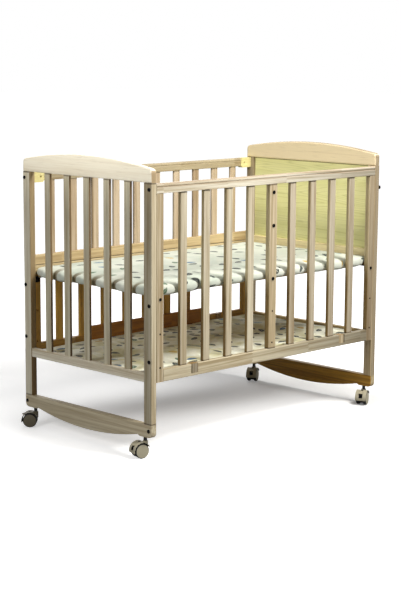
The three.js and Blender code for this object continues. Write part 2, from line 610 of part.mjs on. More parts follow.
// Butt hinges: the fixed leaf carries the middle knuckle and the pin, the gate leaf the outer two
function hinge(name, x) {
  const leafY = SIDE_Y + FIT_GAP;
  const half = HINGE_LENGTH / 2;
  const third = HINGE_LENGTH / 6;
  const split = FIT_GAP / 2;
  const leaf = (low, high) => block([x - half, leafY, low], [x + half, leafY + HINGE_LEAF, high]);
  const knuckle = (from, to) => rod([from, HINGE_Y, HINGE_Z], [to, HINGE_Y, HINGE_Z], HINGE_BARREL, 14);
  const clear = (from, to) => block([from, SIDE_Y, HINGE_Z - HINGE_BARREL - 1],
    [to, HINGE_Y + HINGE_BARREL + 1, HINGE_Z + HINGE_BARREL + 1]);
  const fixed = cut(leaf(HINGE_Z - HINGE_LEAF_HEIGHT, HINGE_Z - 1),
    clear(x - half - 1, x - third + split), clear(x + third - split, x + half + 1));
  const pin = rod([x - half, HINGE_Y, HINGE_Z], [x + half, HINGE_Y, HINGE_Z], HINGE_PIN, 10);
  add(`${name}_fixed_leaf`, join(fixed, knuckle(x - third + split, x + third - split), pin), ZINC);
  const moving = cut(leaf(HINGE_Z + 1, HINGE_Z + HINGE_LEAF_HEIGHT), clear(x - third - split, x + third + split));
  const bore = rod([x - half - 1, HINGE_Y, HINGE_Z], [x + half + 1, HINGE_Y, HINGE_Z],
    HINGE_PIN + HINGE_PIN_CLEARANCE, 10);
  add(`${name}_gate_leaf`, cut(join(moving, knuckle(x - half, x - third - split),
    knuckle(x + third + split, x + half)), bore), ZINC);
}

// Padded pieces

// Grid lines along one axis of a pad. The cloth is pinched at each mark and swells between marks that
// stand well apart.
function padLines(from, marks, to, perBay) {
  const stops = [from, ...marks, to];
  const lines = [];
  for (let bay = 0; bay + 1 < stops.length; bay++) {
    const [start, width] = [stops[bay], stops[bay + 1] - stops[bay]];
    const steps = width > PAD_OPEN_BAY ? perBay : 1;
    for (let k = 0; k < steps; k++) {
      const offset = width * k / steps;
      lines.push({
        at: start + offset,
        swell: k === 0 ? 0 : Math.min(1, Math.min(offset, width - offset) / PAD_SWELL_RUN),
        pinch: k === 0 && bay > 0 ? 1 : 0,
      });
    }
  }
  lines.push({ at: to, swell: 0, pinch: 0 });
  return lines;
}

// A closed pad on a grid of lines. Its front and left edges swell between the slats, its sides bow, its
// top climbs to a crown with a crease running in from each slat, and its front edge can curl up.
function pad({
  across, along, low, edgeTop, crown, crease, creaseReach, frontBulge, leftBulge, sideBow, corner, curl,
}) {
  const [nx, ny] = [across.length, along.length];
  const positions = [];
  const index = [];
  const place = (i, j, inset) => {
    const [atX, atY] = [across[i].at, along[j].at];
    const isCorner = (i === 0 || i === nx - 1) && (j === 0 || j === ny - 1);
    const pull = inset + (isCorner ? corner : 0);
    let [x, y] = [atX, atY];
    if (i === 0) {
      x += pull - leftBulge * along[j].swell;
    }
    if (i === nx - 1) {
      x -= pull;
    }
    if (j === 0) {
      y += pull - frontBulge * across[i].swell;
    }
    if (j === ny - 1) {
      y -= pull;
    }
    return [x, y];
  };
  const inward = (i, j) => [along[j].at - along[0].at, across[i].at - across[0].at,
    along[ny - 1].at - along[j].at, across[nx - 1].at - across[i].at];
  const lift = (i, j) => (curl ? curl(across[i].at, along[j].at - along[0].at) : 0);
  const sheet = (inset, height) => {
    const start = positions.length / 3;
    for (let j = 0; j < ny; j++) {
      for (let i = 0; i < nx; i++) {
        const [x, y] = place(i, j, inset);
        positions.push(x, y, height(i, j) + lift(i, j));
      }
    }
    return start;
  };
  const fade = (distance) => Math.max(0, 1 - distance / creaseReach);
  const top = sheet(sideBow * 2, (i, j) => {
    const [front, left, back, right] = inward(i, j);
    const share = Math.min(1, Math.min(front, left, back, right) / 120);
    const sink = Math.max(across[i].pinch * fade(front), along[j].pinch * fade(left));
    return edgeTop + crown * share * (2 - share) - crease * sink;
  });
  const bottom = sheet(sideBow * 1.5, () => low);
  for (let j = 0; j + 1 < ny; j++) {
    for (let i = 0; i + 1 < nx; i++) {
      const corners = [i + nx * j, i + 1 + nx * j, i + 1 + nx * (j + 1), i + nx * (j + 1)];
      const [a, b, c, d] = corners.map((v) => v + top);
      const [e, f, g, h] = corners.map((v) => v + bottom);
      index.push(a, b, c, a, c, d, e, g, f, e, h, g);
    }
  }
  const loop = [];
  for (let i = 0; i < nx - 1; i++) {
    loop.push([i, 0]);
  }
  for (let j = 0; j < ny - 1; j++) {
    loop.push([nx - 1, j]);
  }
  for (let i = nx - 1; i > 0; i--) {
    loop.push([i, ny - 1]);
  }
  for (let j = ny - 1; j > 0; j--) {
    loop.push([0, j]);
  }
  const rings = [loop.map(([i, j]) => bottom + i + nx * j)];
  for (const share of [0.3, 0.72]) {
    rings.push(loop.map(([i, j]) => {
      const [x, y] = place(i, j, 0);
      positions.push(x, y, low + (edgeTop - low) * share + lift(i, j));
      return positions.length / 3 - 1;
    }));
  }
  rings.push(loop.map(([i, j]) => top + i + nx * j));
  for (let r = 0; r + 1 < rings.length; r++) {
    for (let k = 0; k < loop.length; k++) {
      const next = (k + 1) % loop.length;
      const [a, b, c, d] = [rings[r][k], rings[r][next], rings[r + 1][k], rings[r + 1][next]];
      index.push(a, b, d, a, d, c);
    }
  }
  const geometry = new THREE.BufferGeometry();
  geometry.setAttribute('position', new THREE.Float32BufferAttribute(positions, 3));
  geometry.setIndex(index);
  return toGeometry(toSolid(geometry));
}

// Where uprights and slats press on a pad, along the front and along the slatted end
const nearUpright = CENTRE_UPRIGHT_WIDTH / 2 + 0.5;
const nearStile = FRONT_STILE_X - FRONT_STILE_WIDTH / 2 - 0.5;
const besideSlat = (x) => [x - SLAT_WIDTH / 2 - 0.5, x + SLAT_WIDTH / 2 + 0.5];
const frontMarks = [-nearStile, ...sideSlatPlaces.slice(0, SLATS_PER_HALF).flatMap(besideSlat),
  -nearUpright, nearUpright, ...sideSlatPlaces.slice(SLATS_PER_HALF).flatMap(besideSlat), nearStile];
const endMarks = [-POST_Y + 1, ...endSlatPlaces, POST_Y - 1];

// Sleeping level

function sleepingLevel() {
  const x = INNER_X - PLATFORM_INSET;
  const y = INNER_Y - PLATFORM_INSET;
  const board = [[-x, -y, PLATFORM_UNDERSIDE], [x, y, PLATFORM_UNDERSIDE + PLATFORM_BOARD]];
  add('platform_board', block(...board), WARM_PINE);
  const [edgeX, edgeY] = [INNER_X - MATTRESS_EDGE_GAP, INNER_Y - MATTRESS_EDGE_GAP];
  const cushion = pad({
    across: padLines(-edgeX, frontMarks, edgeX, 3),
    along: padLines(-edgeY, endMarks, edgeY, 2),
    low: PLATFORM_UNDERSIDE + FIT_GAP,
    edgeTop: PLATFORM_UNDERSIDE + MATTRESS_THICKNESS - MATTRESS_CROWN,
    crown: MATTRESS_CROWN,
    crease: MATTRESS_CREASE,
    creaseReach: 150,
    frontBulge: MATTRESS_FRONT_BULGE,
    leftBulge: MATTRESS_LEFT_BULGE,
    sideBow: 3,
    corner: 6,
  });
  const recess = block([-x - FIT_GAP, -y - FIT_GAP, PLATFORM_UNDERSIDE - 1],
    [x + FIT_GAP, y + FIT_GAP, PLATFORM_UNDERSIDE + PLATFORM_BOARD + FIT_GAP]);
  add('mattress', cut(cushion, recess), FABRIC);
  for (const [endName, endSide] of [['left', -1], ['right', 1]]) {
    for (const [sideName, side] of [['front', -1], ['back', 1]]) {
      add(`platform_bracket_${endName}_${sideName}`, bracket(endSide, side), BLACK_STEEL);
    }
  }
}

// A steel angle with its bolt: one leg flat against the stile, one under the platform board, the bolt
// right through the stile with a domed head outside and a nut inside
function bracket(endSide, side) {
  const top = PLATFORM_UNDERSIDE - FIT_GAP;
  const wall = INNER_Y - FIT_GAP;
  const stileX = side < 0 ? FRONT_STILE_X : BACK_STILE_X;
  const boltZ = LEVEL_HEIGHTS[0];
  const [x0, x1] = [stileX - BRACKET_WIDTH / 2, stileX + BRACKET_WIDTH / 2];
  const upright = block([x0, wall - BRACKET_STEEL, top - BRACKET_DROP], [x1, wall, top]);
  const shelf = block([x0, wall - BRACKET_REACH, top - BRACKET_STEEL], [x1, wall - 0.5, top]);
  const head = SIDE_Y + FIT_GAP;
  const bolt = [
    rod([stileX, wall - 1, boltZ], [stileX, head + 1, boltZ], HOLE_RADIUS - BOLT_CLEARANCE, 8),
    rod([stileX, wall - BRACKET_STEEL - 2.5, boltZ], [stileX, wall - 1, boltZ], BOLT_HEAD_RADIUS, 6),
    rod([stileX, head, boltZ], [stileX, head + 2, boltZ], BOLT_HEAD_RADIUS),
  ];
  const angle = join(upright, shelf, ...bolt);
  if (side < 0) {
    angle.rotateZ(Math.PI);
  }
  return angle.translate((endSide - side) * stileX, 0, 0);
}

// Storage level

// A batten between the bottom rails whose thick ends drop into the open notches. The bar is narrower
// than its notch and is pushed towards the middle of the crib.
function crossBar(notchX) {
  const inner = INNER_Y - FIT_GAP;
  const endLow = NOTCH_LOW + FIT_GAP;
  const shoulder = inner - CROSS_BAR_SHOULDER;
  const point = (y, z) => new THREE.Vector2(y, z);
  const section = new THREE.Shape([
    point(-inner, RAIL_LOW), point(inner, RAIL_LOW), point(inner, endLow), point(SIDE_Y, endLow),
    point(SIDE_Y, SIDE_RAIL_TOP), point(shoulder, SIDE_RAIL_TOP),
    point(shoulder, RAIL_LOW + CROSS_BAR_THICKNESS), point(-shoulder, RAIL_LOW + CROSS_BAR_THICKNESS),
    point(-shoulder, SIDE_RAIL_TOP), point(-SIDE_Y, SIDE_RAIL_TOP), point(-SIDE_Y, endLow),
    point(-inner, endLow),
  ]);
  const middle = notchX - Math.sign(notchX) * (NOTCH_WIDTH - CROSS_BAR_WIDTH) / 2;
  return extrudeAlong('x', section, middle - CROSS_BAR_WIDTH / 2, middle + CROSS_BAR_WIDTH / 2);
}

function storageLevel() {
  add('cross_bar_left', crossBar(-CROSS_BAR_X), PALE_PINE);
  add('cross_bar_right', crossBar(CROSS_BAR_X), PALE_PINE);
  const low = STORAGE_BOARD_LOW;
  const [x, front] = [INNER_X - 2, -INNER_Y + 7];
  const back = INNER_Y - KICK_BOARD_THICKNESS - 2 * FIT_GAP - 1;
  add('storage_board', block([-x, front, low], [x, back, low + STORAGE_BOARD]), WARM_PINE);
  const waves = (at, inward) => {
    const ripple = 0.72 + 0.28 * Math.sin(at / 37) * Math.sin(at / 83 + 1);
    return STORAGE_PAD_CURL * ripple * Math.max(0, 1 - inward / STORAGE_PAD_CURL_REACH) ** 1.5;
  };
  add('storage_pad', pad({
    across: padLines(-x + 1, frontMarks, x - 1, 2),
    along: [front + 1, front + 12, front + STORAGE_PAD_CURL_REACH, -60, 80, back - 1].map(
      (at) => ({ at, swell: 0, pinch: 0 })),
    low: low + STORAGE_BOARD + FIT_GAP,
    edgeTop: low + STORAGE_BOARD + STORAGE_PAD,
    crown: STORAGE_PAD_CROWN,
    crease: STORAGE_PAD_CREASE,
    creaseReach: 110,
    frontBulge: 0,
    leftBulge: 0,
    sideBow: 0.6,
    corner: 3,
    curl: waves,
  }), FABRIC);
}

// Caster pieces

// Every caster piece is drawn with the axle along Y through the origin, the stem on the +X side, Z up.
// A point given by its angle up from +X and its distance from the axle
function polar(degrees, radius) {
  const angle = THREE.MathUtils.degToRad(degrees);
  return new THREE.Vector2(radius * Math.cos(angle), radius * Math.sin(angle));
}

// A side view pushed across the caster, the drawn X to the stem side
function acrossCaster(shape, halfWidth) {
  return extrudeAlong('y', shape, -halfWidth, halfWidth).rotateZ(Math.PI);
}

// Two wheels on one axle, turned as a single profile about the axle
function wheelPair() {
  const [inner, outer] = [WHEEL_INNER, WHEEL_INNER + WHEEL_WIDTH];
  const half = [
    [AXLE_RADIUS, inner], [WHEEL_RADIUS - 1.5, inner], [WHEEL_RADIUS, inner + 3],
    [WHEEL_RADIUS, outer - 3], [WHEEL_RADIUS - 2.5, outer], [9, outer + 0.7], [0, outer + 0.7],
  ];
  const profile = [
    ...half.slice().reverse().map(([r, t]) => new THREE.Vector2(r, -t)),
    ...half.map(([r, t]) => new THREE.Vector2(r, t)),
  ];
  return new THREE.LatheGeometry(profile, 20);
}

// The moulded hood: a fender over both wheels, a web between them that carries the axle, and the boss
// with its stem. The rear of the web and fender is open for the brake lever.
function hood() {
  const [front, rear] = FENDER_ANGLES.map(THREE.MathUtils.degToRad);
  const inner = FENDER_RADIUS - FENDER_SHELL;
  const fender = new THREE.Shape([
    ...arc(0, 0, FENDER_RADIUS, front, rear, 14), ...arc(0, 0, inner, rear, front, 14)]);
  const web = new THREE.Shape([
    ...arc(0, 0, FENDER_RADIUS - FENDER_SHELL / 2, front, rear, 14),
    ...arc(0, 0, HUB_RADIUS, rear, front + 4 * QUARTER, 14)]);
  const shell = acrossCaster(fender, FENDER_WIDTH / 2);
  const plate = acrossCaster(web, WEB_WIDTH / 2);
  const bossTop = BOSS_TOP - WHEEL_RADIUS;
  const wheelRoom = [-1, 1].map((side) => rod(
    [0, side * WEB_WIDTH / 2, 0], [0, side * FENDER_WIDTH, 0], inner, 24));
  const boss = cut(rod([TRAIL, 0, 8], [TRAIL, 0, bossTop], BOSS_RADIUS, 14), ...wheelRoom);
  const stemTop = ROCKER_UNDERSIDE + STEM_IN_ROCKER - WHEEL_RADIUS;
  const stem = rod([TRAIL, 0, bossTop - 2], [TRAIL, 0, stemTop], STEM_RADIUS);
  const axleBore = rod([0, -FENDER_WIDTH, 0], [0, FENDER_WIDTH, 0], AXLE_RADIUS + AXLE_CLEARANCE);
  const pedalHalf = PEDAL_WIDTH / 2 + LEVER_CLEARANCE;
  const neckHalf = NECK_WIDTH / 2 + LEVER_CLEARANCE;
  const [px, pz] = LEVER_PIVOT;
  const pedalRoom = block([-FENDER_RADIUS - 2, -pedalHalf, pz - PEDAL_ROOM_DEPTH],
    [px - PEDAL_FROM_PIVOT, pedalHalf, FENDER_RADIUS]);
  const neckRoom = block([px - PEDAL_FROM_PIVOT - 1, -neckHalf, pz - NECK_ROOM_DEPTH],
    [px + NECK_ROOM_FRONT, neckHalf, FENDER_RADIUS + 1]);
  const pinBore = rod([px, -FENDER_WIDTH / 3, pz], [px, FENDER_WIDTH / 3, pz],
    LEVER_PIN_RADIUS + LEVER_CLEARANCE, 10);
  return cut(join(shell, plate, boss, stem), axleBore, pedalRoom, neckRoom, pinBore);
}

// The brake lever: a neck on a cross pin under the top of the hood, widening into a pedal whose nose
// stands out to the rear
function brakeLever() {
  const [px, pz] = LEVER_PIVOT;
  const neck = new THREE.Shape([polar(104, FENDER_RADIUS - 10.6), new THREE.Vector2(px + 2.6, pz - 1.5),
    new THREE.Vector2(px + 2.6, pz + 1.5), polar(103, FENDER_RADIUS - 0.4), polar(120, FENDER_RADIUS + 0.4),
    polar(128, FENDER_RADIUS + 0.8), polar(132, FENDER_RADIUS - 2), polar(125, FENDER_RADIUS - 3.5)]);
  const pedal = new THREE.Shape([polar(123, FENDER_RADIUS + 0.5), polar(135, FENDER_RADIUS + 2),
    polar(141, FENDER_RADIUS + 5.5), polar(144.5, FENDER_RADIUS + 5), polar(139, FENDER_RADIUS - 1),
    polar(126, FENDER_RADIUS - 3.5)]);
  const pinHalf = WEB_WIDTH / 2;
  return join(acrossCaster(neck, NECK_WIDTH / 2), acrossCaster(pedal, PEDAL_WIDTH / 2),
    rod([px, -pinHalf, pz], [px, pinHalf, pz], LEVER_PIN_RADIUS, 10));
}

function caster(name, x, y) {
  const turn = new THREE.Group();
  turn.position.set(x, y, WHEEL_RADIUS);
  turn.rotation.z = THREE.MathUtils.degToRad(CASTER_HEADINGS[name] + 180);
  const offset = new THREE.Group();
  offset.position.x = -TRAIL;
  turn.add(offset);
  add(`caster_${name}_hood`, hood(), BEIGE_PLASTIC, offset);
  add(`caster_${name}_wheels`, wheelPair(), BEIGE_PLASTIC, offset);
  add(`caster_${name}_brake`, brakeLever(), BEIGE_PLASTIC, offset);
  model.add(turn);
}

slattedEnd();
panelledEnd();
frontSide();
backLowerFrame();
gate();
hinge('hinge_left', -HINGE_X);
hinge('hinge_right', HINGE_X);
sleepingLevel();
storageLevel();
caster('left_front', -MID_END_X, -CASTER_Y);
caster('left_back', -MID_END_X, CASTER_Y);
caster('right_front', MID_END_X, -CASTER_Y);
caster('right_back', MID_END_X, CASTER_Y);

// The casters trail to one side, so the whole crib is moved to stand centred on its own footprint
const bounds = new THREE.Box3().setFromObject(model, true);
model.position.set(-(bounds.min.x + bounds.max.x) / 2, -(bounds.min.y + bounds.max.y) / 2, -bounds.min.z);
const crib = new THREE.Group();
crib.add(model);

export default crib;
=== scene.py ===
# %% [markdown]
# # A rocking crib in Blender
# The crib arrives as a set of finished wooden, steel and plastic solids, which stay where they are. This
# lesson dresses them: it sets the camera and the light, gives each timber its grain, covers the two
# padded pieces with printed cotton and adds the small fittings. All lengths are in metres.

# %% Load the frame
import bpy
import bmesh
import math
import numpy as np
from mathutils import Matrix, Vector


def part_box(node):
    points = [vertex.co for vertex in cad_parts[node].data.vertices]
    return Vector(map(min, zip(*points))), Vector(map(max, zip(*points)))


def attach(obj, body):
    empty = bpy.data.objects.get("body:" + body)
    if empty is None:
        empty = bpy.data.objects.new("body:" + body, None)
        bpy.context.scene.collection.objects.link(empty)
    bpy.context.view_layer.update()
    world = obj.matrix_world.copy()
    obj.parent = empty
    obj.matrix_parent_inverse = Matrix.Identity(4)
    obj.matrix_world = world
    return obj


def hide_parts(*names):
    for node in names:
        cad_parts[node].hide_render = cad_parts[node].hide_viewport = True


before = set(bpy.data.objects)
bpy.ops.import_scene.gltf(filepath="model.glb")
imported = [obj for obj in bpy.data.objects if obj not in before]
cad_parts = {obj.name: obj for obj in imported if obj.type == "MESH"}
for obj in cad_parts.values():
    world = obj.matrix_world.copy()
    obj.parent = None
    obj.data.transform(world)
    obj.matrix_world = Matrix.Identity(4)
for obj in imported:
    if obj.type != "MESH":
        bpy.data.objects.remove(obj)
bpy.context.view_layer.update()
print("pieces in the frame:", len(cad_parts))

left_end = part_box("left_headrail")
right_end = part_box("right_headrail")
centre = Vector(((left_end[0].x + right_end[1].x) / 2, (left_end[0].y + left_end[1].y) / 2, 0))

# %% [markdown]
# ## Small helpers
# Blender's operators act on whatever is selected, so every operation starts from an empty selection
# with one chosen object. Shader nodes are easier to read when one line makes a node, sets its inputs
# and returns the output that the next node needs.

# %% Selection and shader helpers


def select_only(*objects):
    bpy.ops.object.select_all(action="DESELECT")
    for item in objects:
        item.select_set(True)
    bpy.context.view_layer.objects.active = objects[0]


def new_material(name):
    material = bpy.data.materials.new(name)
    material.use_nodes = True
    return material, material.node_tree, material.node_tree.nodes["Principled BSDF"]


def set_inputs(made, inputs, tree):
    """A socket is linked to its input, and any other value is written into it."""
    for key, value in dict(inputs).items():
        if isinstance(value, bpy.types.NodeSocket):
            tree.links.new(value, made.inputs[key])
        else:
            made.inputs[key].default_value = value


def node(tree, kind, inputs=(), **settings):
    made = tree.nodes.new(kind)
    for key, value in settings.items():
        setattr(made, key, value)
    set_inputs(made, inputs, tree)
    return made


def maths(tree, operation, first, second=0.0, clamp=False):
    return node(tree, "ShaderNodeMath", {0: first, 1: second}, operation=operation,
                use_clamp=clamp).outputs[0]


def times(tree, first, second):
    return maths(tree, "MULTIPLY", first, second)


def vector_maths(tree, operation, first, second):
    return node(tree, "ShaderNodeVectorMath", {0: first, 1: second}, operation=operation).outputs[0]


def remap(tree, value, low=0.0, high=1.0, to_low=0.0, to_high=1.0, **settings):
    return node(tree, "ShaderNodeMapRange", {"Value": value, "From Min": low, "From Max": high,
                "To Min": to_low, "To Max": to_high}, **settings).outputs[0]


def noise(tree, vector, scale, detail, roughness=0.5, distortion=0.0):
    return node(tree, "ShaderNodeTexNoise", {"Vector": vector, "Scale": scale, "Detail": detail,
                "Roughness": roughness, "Distortion": distortion}).outputs[0]


def xyz(tree, vector):
    return node(tree, "ShaderNodeSeparateXYZ", {0: vector}).outputs


def grey(tree, value):
    return node(tree, "ShaderNodeCombineColor", {0: value, 1: value, 2: value}).outputs[0]


def object_coords(tree):
    return node(tree, "ShaderNodeTexCoord").outputs["Object"]


def centred_coords(tree):
    """Object coordinates counted from the middle of the crib on the floor."""
    return vector_maths(tree, "ADD", object_coords(tree), (-centre.x, -centre.y, 0))


def blend_colour(tree, amount, first, second, mode="MIX"):
    made = tree.nodes.new("ShaderNodeMix")
    made.data_type = "RGBA"
    made.blend_type = mode
    set_inputs(made, {0: amount, 6: first, 7: second}, tree)
    return made.outputs[2]


def bump(tree, shader, height, strength, distance):
    made = node(tree, "ShaderNodeBump", {"Height": height, "Strength": strength, "Distance": distance})
    tree.links.new(made.outputs[0], shader.inputs["Normal"])


def srgb(red, green, blue):
    def straight(value):
        value /= 255
        return value / 12.92 if value <= 0.04045 else ((value + 0.055) / 1.055) ** 2.4
    return (straight(red), straight(green), straight(blue), 1.0)


def scaled(colour, *shares):
    """A colour with its three channels scaled, by one share each or by one share for all."""
    shares = shares * 3 if len(shares) == 1 else shares
    return tuple(c * share for c, share in zip(colour, shares)) + (1.0,)


# %% [markdown]
# ## Camera
# A photograph of a box fixes the camera almost completely: the vanishing lines give its direction and
# the spacing of the slats gives its distance. Here the view is from the slatted end and the front,
# a little above the headrails, through a long lens that keeps the slats nearly parallel.

# %% Place the camera
CAMERA_FROM_CENTRE = (-3.5909, -3.5738, 1.2197)
FOCAL_PIXELS = 1539.1
PICTURE_HEIGHT = 601
SENSOR_HEIGHT = 36

yaw, pitch, roll = math.radians(44.93), math.radians(-9.31), math.radians(0.33)
forward = Vector((math.sin(yaw) * math.cos(pitch), math.cos(yaw) * math.cos(pitch), math.sin(pitch)))
level_right = Vector((math.cos(yaw), -math.sin(yaw), 0))
level_up = level_right.cross(forward)
right = math.cos(roll) * level_right + math.sin(roll) * level_up
up = -math.sin(roll) * level_right + math.cos(roll) * level_up

bpy.ops.object.camera_add()
camera = bpy.context.object
camera.matrix_world = Matrix.Translation(centre + Vector(CAMERA_FROM_CENTRE)) @ Matrix(
    (right, up, -forward)).transposed().to_4x4()
camera.data.sensor_fit = "VERTICAL"
camera.data.sensor_height = SENSOR_HEIGHT
camera.data.lens = SENSOR_HEIGHT * FOCAL_PIXELS / PICTURE_HEIGHT
bpy.context.scene.camera = camera
print("camera at", [round(v, 3) for v in camera.location], "lens", round(camera.data.lens, 1))

# %% [markdown]
# ## Light, floor and backdrop
# The picture is a plain studio shot on white. A strong soft lamp high in front gives the front frame
# its even cream tone, and a weak one low in front reaches the shelf. Softer lamps stand at the slatted
# end, behind and above. The brown and dark far corner under the mattress is painted shade in the wood's
# colours. The floor shows white to the camera and still takes a grey shadow, partly the lamps' real
# shadow and partly painted shade from the floor's glow.

# %% Lamps
BEAM_PLACE = (-2.9, -0.35, 1.5)
BEAM_TARGET = (0, 0, 1.21)


def aim(item, place, target):
    item.rotation_euler = (Vector(target) - Vector(place)).to_track_quat("-Z", "Y").to_euler()


def soft_lamp(name, place, target, size, power, colour=(1, 1, 1)):
    bpy.ops.object.light_add(type="AREA", location=place)
    lamp = bpy.context.object
    lamp.name = name
    lamp.data.shape = "SQUARE"
    lamp.data.size = size
    lamp.data.energy = power
    lamp.data.color = colour
    aim(lamp, place, target)


soft_lamp("high front lamp", (0.4, -1.8, 2.6), (0.1, 0, 0.6), 1.0, 95, (1.0, 0.985, 0.95))
soft_lamp("end lamp", (-2.8, -0.3, 1.7), (0, 0, 0.85), 0.9, 27)
soft_lamp("back lamp", (1.5, 2.5, 2.6), (0, 0, 0.5), 1.2, 24)
soft_lamp("top lamp", (0.2, -0.2, 2.7), (0.1, 0, 0.5), 1.5, 14)
soft_lamp("low front lamp", (-0.5, -2.3, 0.8), (0.1, 0, 0.28), 0.8, 4.5)

# a narrow beam, widened sideways, skims over the slatted end and lights both headrails and the far panel
bpy.ops.object.light_add(type="SPOT", location=BEAM_PLACE)
beam = bpy.context.object
beam.name = "headrail beam"
beam.data.energy = 150
beam.data.color = (1.0, 0.97, 0.9)
beam.data.spot_size = math.radians(20)
beam.data.spot_blend = 0.06
beam.data.shadow_soft_size = 0.12
beam.scale = (2.4, 1, 1)
aim(beam, BEAM_PLACE, BEAM_TARGET)

# the backdrop is white where it is seen or mirrored, and lights the crib only faintly
world = bpy.data.worlds.new("studio")
bpy.context.scene.world = world
world.use_nodes = True
tree = world.node_tree
backdrop = tree.nodes["Background"]
path = node(tree, "ShaderNodeLightPath")
seen = maths(tree, "MAXIMUM", path.outputs["Is Camera Ray"], path.outputs["Is Glossy Ray"])
backdrop.inputs["Color"].default_value = (1, 1, 1, 1)
tree.links.new(remap(tree, seen, to_low=0.06), backdrop.inputs["Strength"])

bpy.context.scene.view_settings.view_transform = "Standard"

# %% Floor
# Where the camera looks at the floor it glows up to white. Four soft oval patches hold the glow back and
# so paint the shape of the shade: under the crib the grey is the lamps' real shadow in the shape the
# patches give it, and the fainter grey behind it is painted shade. Each has a strength, a middle,
# a turn and two radii. Beyond the panelled end the patches fade out.
SHADE_PATCHES = ((0.431, (-0.467, -0.149), -0.179, (0.335, 1.419)),
                 (0.926, (0.558, -0.294), -0.349, (0.142, 0.354)),
                 (0.592, (0.09, 0.183), -0.153, (0.555, 0.187)),
                 (1.0, (0.881, 0.496), -0.633, (1.419, 0.568)))
PATCHES_FADE = (0.8, 1.15)


def floor_shade(tree, place):
    shade = 0.0
    for strength, middle, turn, radii in SHADE_PATCHES:
        oval = node(tree, "ShaderNodeMapping", {"Vector": place, "Location": (*middle, 0),
                    "Rotation": (0, 0, turn), "Scale": (*radii, 1)}, vector_type="TEXTURE").outputs[0]
        away = node(tree, "ShaderNodeVectorMath", {0: oval, 1: oval}, operation="DOT_PRODUCT")
        patch = maths(tree, "EXPONENT", times(tree, away.outputs["Value"], -1.0))
        shade = maths(tree, "ADD", shade, times(tree, patch, strength))
    near_crib = remap(tree, xyz(tree, place)[0], *PATCHES_FADE, 1.0, 0.0, interpolation_type="SMOOTHSTEP")
    return times(tree, shade, near_crib)


def floor_material():
    material, tree, shader = new_material("white studio floor")
    seen = node(tree, "ShaderNodeLightPath").outputs["Is Camera Ray"]
    glow = maths(tree, "SUBTRACT", 1.0, floor_shade(tree, centred_coords(tree)), clamp=True)
    set_inputs(shader, {"Roughness": 1.0, "Specular IOR Level": 0.0, "Emission Color": (1, 1, 1, 1),
                        "Emission Strength": times(tree, seen, glow),
                        "Base Color": grey(tree, remap(tree, seen, 0.0, 1.0, 0.3, 0.9))}, tree)
    return material


bpy.ops.mesh.primitive_plane_add(size=60, location=(0, 0, 0))
floor = bpy.context.object
floor.name = "floor"
floor.data.materials.append(floor_material())

# %% [markdown]
# ## Pine
# Softwood shows long pale streaks along each stick, faint bands from the growth rings and fine dark
# pores. The crib's long rails are glued up from short lengths, so every 27 cm the tone changes at a
# zigzag joint. The pattern is built on object coordinates, stretched along the stick, and each stick
# gets its own tone from its place.

# %% Build the pine material
AXIS = {"x": 0, "y": 1, "z": 2}
# spacing of the sticks along X, Y and Z: within a cell the grain is one stick's
SLAT_CELL = (0.098, 0.0933, 0.5)
BACK_SLAT_CELL = (0.094, 0.0933, 0.5)
RAIL_CELL = (0.5, 0.59, 0.6)
END_CELL = (1.0, 0.5, 0.2)
# length of the boards that a rail is glued up from; the long one is more than any stick
JOINTS = 0.27
ONE_BOARD = 9.0
TOOTH = 0.0035
TOOTH_SLOPE = 2.2
GRAIN_STRETCH = 0.022
PALE_LIMIT = 0.94
# heights over which the painted shade changes, and distances from the middle over which the painted falloff
# of light grows
SLEEPING_LEVEL = (0.44, 0.53)
PAINTED_FALLOFF_RUN = (-0.15, 0.5)
# seams are thin lines of painted shade where one piece meets another
SEAM = 0.002
SEAM_SHADE_TONE = srgb(58, 42, 26)


def streak_tones(mean):
    """The pale and the dark streak of a stick, from its mean tone as seen in the picture."""
    middle = srgb(*mean)
    pale = scaled(middle, 1.16, 1.17, 1.2)
    pale = scaled(pale, min(1.0, PALE_LIMIT / max(pale[:3])))
    return pale, scaled(middle, 0.66, 0.58, 0.47)


def board_random(tree, place, along, cell, board):
    """Random outputs of the board at a place: sticks are told apart across the grain, boards along it."""
    across = [k for k in range(3) if k != along]
    ids = [maths(tree, "ROUND", maths(tree, "DIVIDE", place[k], cell[k])) for k in across]
    stick = node(tree, "ShaderNodeCombineXYZ", {0: ids[0], 1: ids[1]}).outputs[0]
    stick_random = node(tree, "ShaderNodeTexWhiteNoise", {"Vector": stick}, noise_dimensions="3D").outputs
    # zigzag finger joints between short boards
    teeth = maths(tree, "PINGPONG", maths(tree, "ADD", place[across[0]], place[across[1]]), TOOTH)
    jagged = maths(tree, "ADD", place[along], times(tree, teeth, TOOTH_SLOPE))
    start = maths(tree, "ADD", times(tree, stick_random[0], 0.8), 0.1)
    number = maths(tree, "FLOOR", maths(tree, "ADD", maths(tree, "DIVIDE", jagged, board), start))
    seed = node(tree, "ShaderNodeCombineXYZ", {0: ids[0], 1: ids[1], 2: number}).outputs[0]
    return node(tree, "ShaderNodeTexWhiteNoise", {"Vector": seed}, noise_dimensions="3D").outputs


